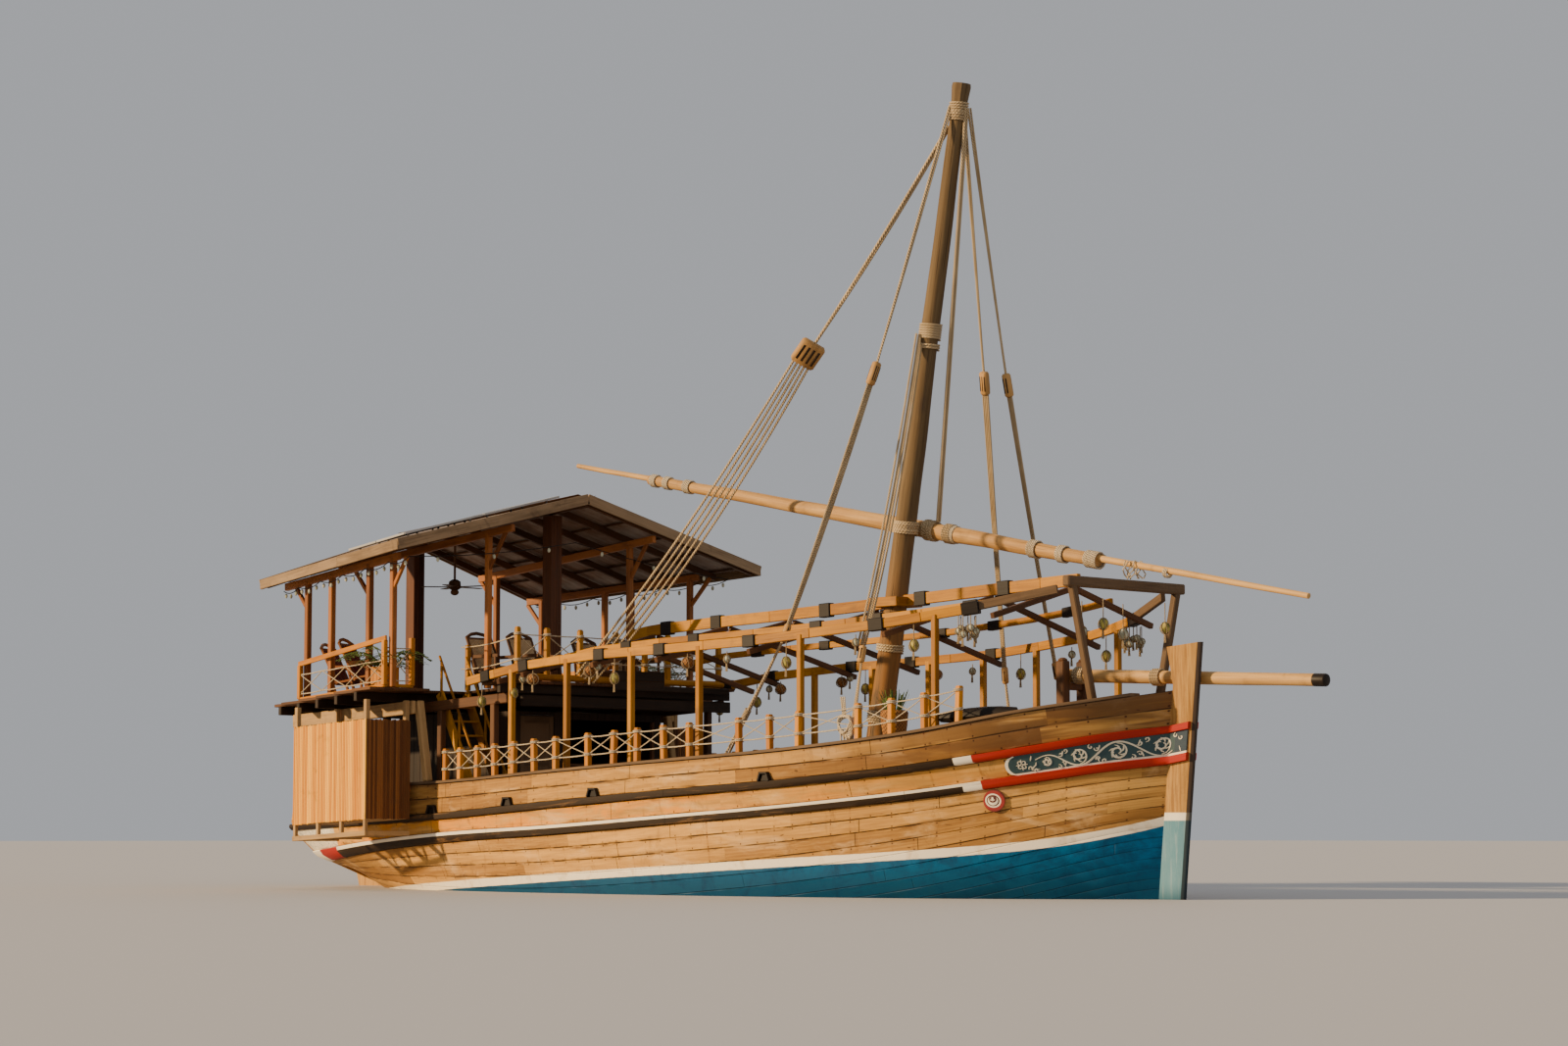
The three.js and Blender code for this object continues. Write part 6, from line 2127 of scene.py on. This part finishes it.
def solar_panels():
    frames, cells = fresh(), fresh()
    for row in range(2):
        for column in range(2):
            t0, t1 = 0.032 + column * 0.195, 0.032 + column * 0.195 + 0.19
            p0, p1 = 0.125 + row * 0.415, 0.125 + row * 0.415 + 0.405
            corners = [roof_point(t, -1, p) for t, p in ((t0, p0), (t1, p0), (t1, p1), (t0, p1))]
            lift = up_by(0.085)
            for a, b in zip(corners, corners[1:] + corners[:1]):
                beam(frames, a + lift, b + lift, 0.03, 0.038, 0.004)
            rings = []
            for up in (0.092, 0.104):
                rings.append([p + up_by(up) for p in corners])
            sweep(cells, rings, lambda k, j: ((0, 0), (1, 0), (1, 1), (0, 1), (0, 0))[j])
            for x_part in (0.15, 0.85):
                upper, lower = corners[0].lerp(corners[1], x_part), corners[3].lerp(corners[2], x_part)
                for y_part in (0.1, 0.9):
                    foot = upper.lerp(lower, y_part)
                    post(frames, foot + up_by(0.004), foot + lift, 0.03, 0.03, 0.003)
    keep("solar_panel_frames", frames, STEEL, replaces=("solar_panels",))
    keep("solar_panel_cells", cells, CELLS)


def upper_works():
    upper_deck()
    deck_supports()
    fore_rail()
    sign_board()
    stair()
    cabin()
    for side, name in SIDES:
        wing_rail(side, name)
        closet(side, name)
    roof_skin()
    roof_frame()
    roof_supports()
    solar_panels()


upper_works()

# Small gear


def leaf_finish(name, pale, deep):
    f = Finish(name)
    tone = f.noise(f.point(), 14, 3, 0.6)
    vein = f.noise(f.scaled(f.point(), (60, 60, 8)), 1.0, 2)
    return f.paint(f.mix(tone, deep, pale), 0.45 + tone * 0.2, vein, 0.001, shine=LEAF_SHINE)


def woven_finish(name, pale, deep, size=90):
    """Strands over and under each other."""
    f = Finish(name)
    x, y, z = f.parts(f.point())
    over = ((x + y) * size).sine() * ((z + x * 0.3) * size).sine()
    tone = f.noise(f.point(), 6, 3, 0.6)
    shade = (over * 0.35 + tone * 0.8).smooth(0.0, 0.9)
    return f.paint(f.mix(shade, deep, pale), 0.7 + tone * 0.2, over, 0.003, shine=LEAF_SHINE)


LEAVES = leaf_finish("palm_leaves", (0.14, 0.20, 0.035), (0.03, 0.07, 0.012))
WICKER = woven_finish("brown_wicker", (0.36, 0.16, 0.04), (0.10, 0.04, 0.012))
CANE = woven_finish("pale_cane_weave", (0.62, 0.44, 0.24), (0.22, 0.13, 0.06), 160)
RED_CLOTH = woven_finish("dark_red_slats", (0.26, 0.03, 0.015), (0.08, 0.01, 0.006), 120)
GOURD = woven_finish("yellow_green_floats", (0.46, 0.38, 0.08), (0.16, 0.15, 0.04), 40)
GLASS = woven_finish("cloudy_glass_floats", (0.60, 0.60, 0.46), (0.26, 0.28, 0.20), 30)


def scupper_hoods(side):
    """Dark hooded drain holes that stand on the upper wale."""
    bm = fresh()
    for d in (14.59, 12.3, 9.97, 6.0):
        x = aft(d)
        y, z = line_at(x, lambda s: s["z_high"] + wale_half(s, "z_high"))
        y = side * (y + 0.022)
        for way in (-1, 1):
            foot, top = (x + way * 0.125, y, z), (x + way * 0.075, y, z + 0.125)
            beam(bm, foot, top, 0.04, 0.09, 0.006, up=(0, 1, 0))
        beam(bm, (x - 0.095, y, z + 0.132), (x + 0.095, y, z + 0.132), 0.1, 0.034, 0.006)
        y -= side * 0.012
        z += 0.06
        beam(bm, (x - 0.07, y, z), (x + 0.07, y, z), 0.03, 0.11, 0)
    return bm


def net_float(body, ropes, at, size, hang, tall=1.25):
    """A float in a rope net on a line of some length."""
    at = Vector(at)
    ball(body, at, (size, size, size * tall), 10)
    top = at + up_by(size * 0.55 * tall)
    tube(ropes, [top + up_by(hang), top + up_by(hang / 2), top], 0.009, 5, rope=True)
    for k in range(6):
        path = []
        for j in range(7):
            turn = math.tau * k / 6 + j * 0.14
            r = size * 0.54 * math.sin(math.pi * j / 6) + 0.004
            rise = size * 0.53 * tall * math.cos(math.pi * j / 6)
            path.append(at + Vector((math.cos(turn) * r, math.sin(turn) * r, rise)))
        tube(ropes, path, 0.008, 4, rope=True)
    low = size * 0.5 * tall
    for k in range(3):
        knot, end = at - Vector((0.01 * k, 0, low)), at - Vector((0.02 * k - 0.02, 0.01, low + 0.14))
        tube(ropes, [knot, end], 0.007, 4, rope=True)


def hanging_floats():
    green, glass, dark, ropes = fresh(), fresh(), fresh(), fresh()
    for side in (-1, 1):
        for d in (13.49, 12.54, 9.79, 5.85, 3.5):
            at = eave_point(d, side) - Vector((0, side * 0.02, 0.42))
            net_float(green, ropes, at, 0.15, 0.24)
        for d in (11.96, 10.41, 8.0):
            net_float(dark, ropes, eave_point(d, side) - up_by(0.26), 0.2, 0.05, 0.9)
        for d, low in ((12.25, 0.22), (10.2, 0.2), (7.1, 0.26), (4.5, 0.24)):
            net_float(glass, ropes, eave_point(d, side) - up_by(low), 0.11, 0.06, 1.1)
        for k in range(7):
            angle, low = math.tau * k / 7, 0.05 * (k % 3)
            at = eave_point(2.65, side) - Vector((0.14 * math.cos(angle), 0.14 * math.sin(angle), 0.3 + low))
            net_float(glass, ropes, at, 0.105, 0.14 + low, 1.0)
        for d, part, low in ((1.6, 0.5, 0.5), (0.95, 0.75, 0.42)):
            top = Vector((aft(d), side * part, awning_height(2.2, 2) + 0.1))
            net_float(glass if d > 1 else green, ropes, top - up_by(low), 0.15, low - 0.12, 1.2)
    keep("hanging_gourd_floats", green, GOURD)
    keep("hanging_glass_floats", glass, GLASS)
    keep("hanging_woven_balls", dark, WICKER)
    keep("float_nets", ropes, ROPE)


def lamp_strings():
    """Bulbs on a wire under the roof's edges."""
    wire, bulbs = fresh(), fresh()
    for side in (-1, 1):
        stops = [roof_point(t, side, 0.9) - up_by(0.34) for t in (0.06, 0.2, 0.36, 0.52, 0.68, 0.84, 0.95)]
        runs = list(zip(stops, stops[1:]))
        runs.append((stops[0], roof_point(0.06, 0, 0.5) - up_by(0.3)))
        for a, b in runs:
            path = slack(a, b, 0.07, 6)
            tube(wire, path, 0.009, 5)
            for point in path[1:-1:2]:
                ball(bulbs, point - up_by(0.06), (0.06, 0.06, 0.09), 6)
    keep("lamp_wires", wire, TAR)
    keep("lamp_bulbs", bulbs, GLASS)


def ceiling_fan():
    bm = fresh()
    hub = Vector((aft(16.63), -1.0, 5.62))
    tube(bm, [hub + up_by(0.95), hub + up_by(0.3), hub + up_by(0.1)], 0.022, 8)
    tube(bm, [hub + up_by(up) for up in (0.14, 0.1, -0.02, -0.06)], (0.05, 0.11, 0.12, 0.06), 12)
    ball(bm, hub - up_by(0.1), (0.16, 0.16, 0.12), 10)
    for k in range(5):
        way = Vector((math.cos(math.tau * k / 5 + 0.3), math.sin(math.tau * k / 5 + 0.3), 0))
        beam(bm, hub + way * 0.1, hub + way * 0.62, 0.13, 0.012, 0.004)
    keep("ceiling_fan", bm, BROWN)


# A chair's side bars: how far fore and up each starts and ends, and its two sizes
CHAIR_BARS = (
    ((0.4, 0.41), (-0.2, 0.31), 0.04, 0.055),
    ((-0.13, 0.28), (-0.47, 0.98), 0.04, 0.055),
    ((0.37, 0.0), (0.37, 0.6), 0.045, 0.045),
    ((-0.12, 0.0), (-0.30, 0.55), 0.045, 0.045),
    ((0.44, 0.61), (-0.31, 0.61), 0.065, 0.03),
)


def lounge_chair(wood, weave, at, face, width=0.56):
    """A low chair with arms and a tall slanting back."""
    face = Vector(face).normalized()
    side = face.cross(Vector((0, 0, 1)))

    def place(fore, across, up):
        return Vector(at) + face * fore + side * across + up_by(up)

    for hand in (-1, 1):
        b = hand * width / 2
        for start, end, wide, high in CHAIR_BARS:
            beam(wood, place(start[0], b, start[1]), place(end[0], b, end[1]), wide, high, 0.006, up=side)
    for fore, up in ((0.38, 0.4), (-0.2, 0.31), (-0.15, 0.36), (-0.45, 0.95)):
        beam(wood, place(fore, -width / 2, up), place(fore, width / 2, up), 0.035, 0.05, 0.005)
    top = []
    for k in range(5):
        bow = k * (4 - k)
        top.append(place(-0.47 - 0.015 * bow, width * (k / 4 - 0.5), 0.97 + 0.022 * bow))
    tube(wood, top, 0.032, 8)
    beam(weave, place(0.38, 0, 0.405), place(-0.18, 0, 0.32), width - 0.05, 0.02, 0.004)
    beam(weave, place(-0.155, 0, 0.35), place(-0.45, 0, 0.95), width - 0.05, 0.02, 0.004, up=face)


def palm(bm, at, fronds, reach, leaflets=8):
    """Arching fronds with narrow leaflets."""
    for k in range(fronds):
        angle = math.tau * k / fronds + rng.uniform(-0.2, 0.2)
        way = Vector((math.cos(angle), math.sin(angle), 0))
        rise = rng.uniform(0.5, 1.15)
        path = []
        for part in (0, 0.2, 0.4, 0.6, 0.8, 1.0):
            height = reach * (rise * 1.5 * part - rise * 1.25 * part * part)
            path.append(Vector(at) + way * reach * part + up_by(height))
        tube(bm, path, (0.012, 0.010, 0.008, 0.007, 0.005, 0.003), 4)
        for j in range(leaflets):
            part = 0.3 + 0.68 * j / (leaflets - 1)
            k0 = min(4, int(part * 5))
            base = path[k0].lerp(path[k0 + 1], part * 5 - k0)
            for hand in (-1, 1):
                out = (way * 0.55 + way.cross(up_by(hand)) * 0.8 - up_by(0.25)).normalized()
                beam(bm, base, base + out * reach * 0.3 * (1.15 - part * 0.6), 0.026, 0.004, 0)


def slat(bm, x, y, low, wide, thick):
    """A standing slat of a planter."""
    beam(bm, (x, y, low), (x, y, low + 0.42), wide, thick, 0.004, up=(0, 1, 0))


def upper_deck_gear():
    wood, cane = fresh(), fresh()
    for d, y in ((14.95, -1.4), (14.63, -0.71), (14.9, 1.1), (14.7, 1.8)):
        lounge_chair(wood, cane, (aft(d), y, upper_z(aft(d)) + 0.002), (1, 0, 0))
    keep("cane_chair_frames", wood, BROWN)
    keep("cane_chair_weave", cane, CANE)
    wood, cloth = fresh(), fresh()
    for d, y in ((16.95, -2.75), (17.9, -2.45), (16.95, 2.75), (17.9, 2.45)):
        lounge_chair(wood, cloth, (aft(d), y, upper_z(aft(d)) + 0.002), (0.9, -0.45 * y / abs(y), 0))
    keep("red_chair_frames", wood, POST_WOOD)
    keep("red_chair_slats", cloth, RED_CLOTH)
    wood, green = fresh(), fresh()
    for side in (-1, 1):
        x, y = aft(15.72), side * 3.32
        low = upper_z(x) + 0.002
        for k in range(4):
            along = (k - 1.5) * 0.095
            for across in (-0.17, 0.17):
                slat(wood, x + along, y + across, low, 0.09, 0.022)
                slat(wood, x + across, y + along * 0.95, low, 0.022, 0.085)
        beam(wood, (x - 0.16, y, low + 0.2), (x + 0.16, y, low + 0.2), 0.31, 0.36, 0.004)
        palm(green, (x - 0.02, y, low + 0.36), 12, 0.8)
        palm(green, (x + 0.02, y, low + 0.34), 9, 0.42, 5)
    keep("yellow_planters", wood, YELLOW)
    keep("palm_plants", green, LEAVES)


def main_deck_gear():
    wicker, green, wood = fresh(), fresh(), fresh()
    x, y = aft(5.2), -1.0
    floor = deck_z(x) + 0.006
    beam(wood, (x - 0.28, y, floor + 0.32), (x + 0.28, y, floor + 0.32), 0.56, 0.63, 0.012)
    pot = [Vector((x, y, floor + 0.64 + up)) for up in (0, 0.04, 0.3, 0.52, 0.56)]
    tube(wicker, pot, (0.15, 0.17, 0.21, 0.23, 0.2), 16)
    for k in range(70):
        angle, far = rng.uniform(0, math.tau), rng.uniform(0.02, 0.3)
        base = pot[-1] + Vector((math.cos(angle), math.sin(angle), 0)) * far * 0.5
        tip = pot[-1] + Vector((math.cos(angle) * far, math.sin(angle) * far, rng.uniform(0.15, 0.34)))
        beam(green, base - up_by(0.02), tip, 0.016, 0.004, 0)
    keep("wicker_pot", wicker, WICKER)
    keep("pot_plant", green, LEAVES)
    keep("pot_stand", wood, BROWN)

    dark, pale = fresh(), fresh()
    at = Vector((aft(1.95), -0.36, deck_z(aft(1.95)) + 0.3))
    barrel = [at + Vector((0, across, 0)) for across in (-0.38, -0.34, -0.2, 0.2, 0.34, 0.38)]
    tube(dark, barrel, (0.12, 0.16, 0.115, 0.115, 0.16, 0.12), 12)
    for across in (-0.45, 0.45):
        x, y, z = at + Vector((0, across, 0))
        post(dark, (x, y, z - 0.295), (x, y, z + 0.2), 0.11, 0.1, 0.012)
    for across in (-0.98, 0.98):
        foot = Vector((aft(2.02), across, deck_z(aft(2.02)) + 0.006))
        bollard = [foot + up_by(up) for up in (0, 0.42, 0.5, 0.58, 0.6)]
        tube(pale, bollard, (0.085, 0.08, 0.105, 0.1, 0.07), 12, 0.05)
    side_y, side_z = rail_top(aft(2.5))
    log = []
    for k in range(6):
        x, y = aft(3.1 - 0.24 * k), -side_y + 0.26 + 0.11 * k * 0.8
        log.append(Vector((x, y, side_z + 0.13 + 0.016 * k)))
    tube(dark, log, (0.07, 0.105, 0.12, 0.12, 0.105, 0.07), 12, 0.12)
    keep("windlass_and_log", dark, TAR)
    keep("bow_bollards", pale, PALE)

    ropes = fresh()
    post_y, post_z = rail_top(aft(4.19))
    knot = Vector((aft(4.45), -post_y + 0.05, post_z + 0.3))
    for k in range(7):
        loop = []
        for j in range(17):
            angle = math.tau * j / 16
            r = 0.13 + 0.02 * math.sin(3 * angle + k) + 0.008 * k
            up = math.sin(angle) * r * 0.95 - 0.01 * k
            loop.append(knot + Vector((math.cos(angle) * r, 0.012 * (k - 3), up)))
        tube(ropes, loop, 0.015, 5, rope=True)
    for k in range(3):
        top = (aft(4.6) + 0.04 * k, -post_y + 0.1, post_z + 0.72)
        tube(ropes, [knot + Vector((0.03 * k - 0.06, 0, 0.15)), top], 0.014, 5, rope=True)
        low = knot + Vector((0.07 * k - 0.12, 0.02, -0.29))
        tube(ropes, [knot + Vector((0.05 * k - 0.1, 0, -0.1)), low], 0.014, 5, rope=True)
    keep("rail_rope_hank", ropes, WHITE_ROPE)
    ropes = fresh()
    for side in (-1, 1):
        at = Vector((aft(19.62), side * 2.2, station(0.01)["z_top"] + 0.08))
        for k in range(9):
            turn = at + Vector((0.02 * math.sin(k * 2.3), 0, 0.03 * (k - 3)))
            lashing(ropes, turn, (0.25, 0.1 * math.sin(k), 1), 0.14, 1, 0.022)
        post(ropes, at - up_by(0.1), at + up_by(0.3), 0.16, 0.16, 0.02)
    keep("stern_rope_turns", ropes, ROPE)


def yard_tangle():
    """Ends and loops of the yard's forward lashing."""
    bm = fresh()
    at = yard_at(aft(1.29))
    for k in range(9):
        shift = Vector((rng.uniform(-0.07, 0.07), rng.uniform(-0.05, 0.05), 0))
        path = [at + shift + Vector((0, 0.1 * math.cos(k), 0.09))]
        for j in range(1, 5):
            swing = Vector((0.05 * math.sin(k + j), 0.1 * math.cos(k + j), 0.09 - 0.07 * j))
            path.append(at + shift * (1 + j * 0.25) + swing)
        tube(bm, path, 0.012, 5, rope=True)
    keep("yard_tangle", bm, WHITE_ROPE, body="yard")


def small_gear():
    for side, name in SIDES:
        keep("scupper_hoods_" + name, scupper_hoods(side), TAR)
    hanging_floats()
    lamp_strings()
    ceiling_fan()
    upper_deck_gear()
    main_deck_gear()
    yard_tangle()


small_gear()
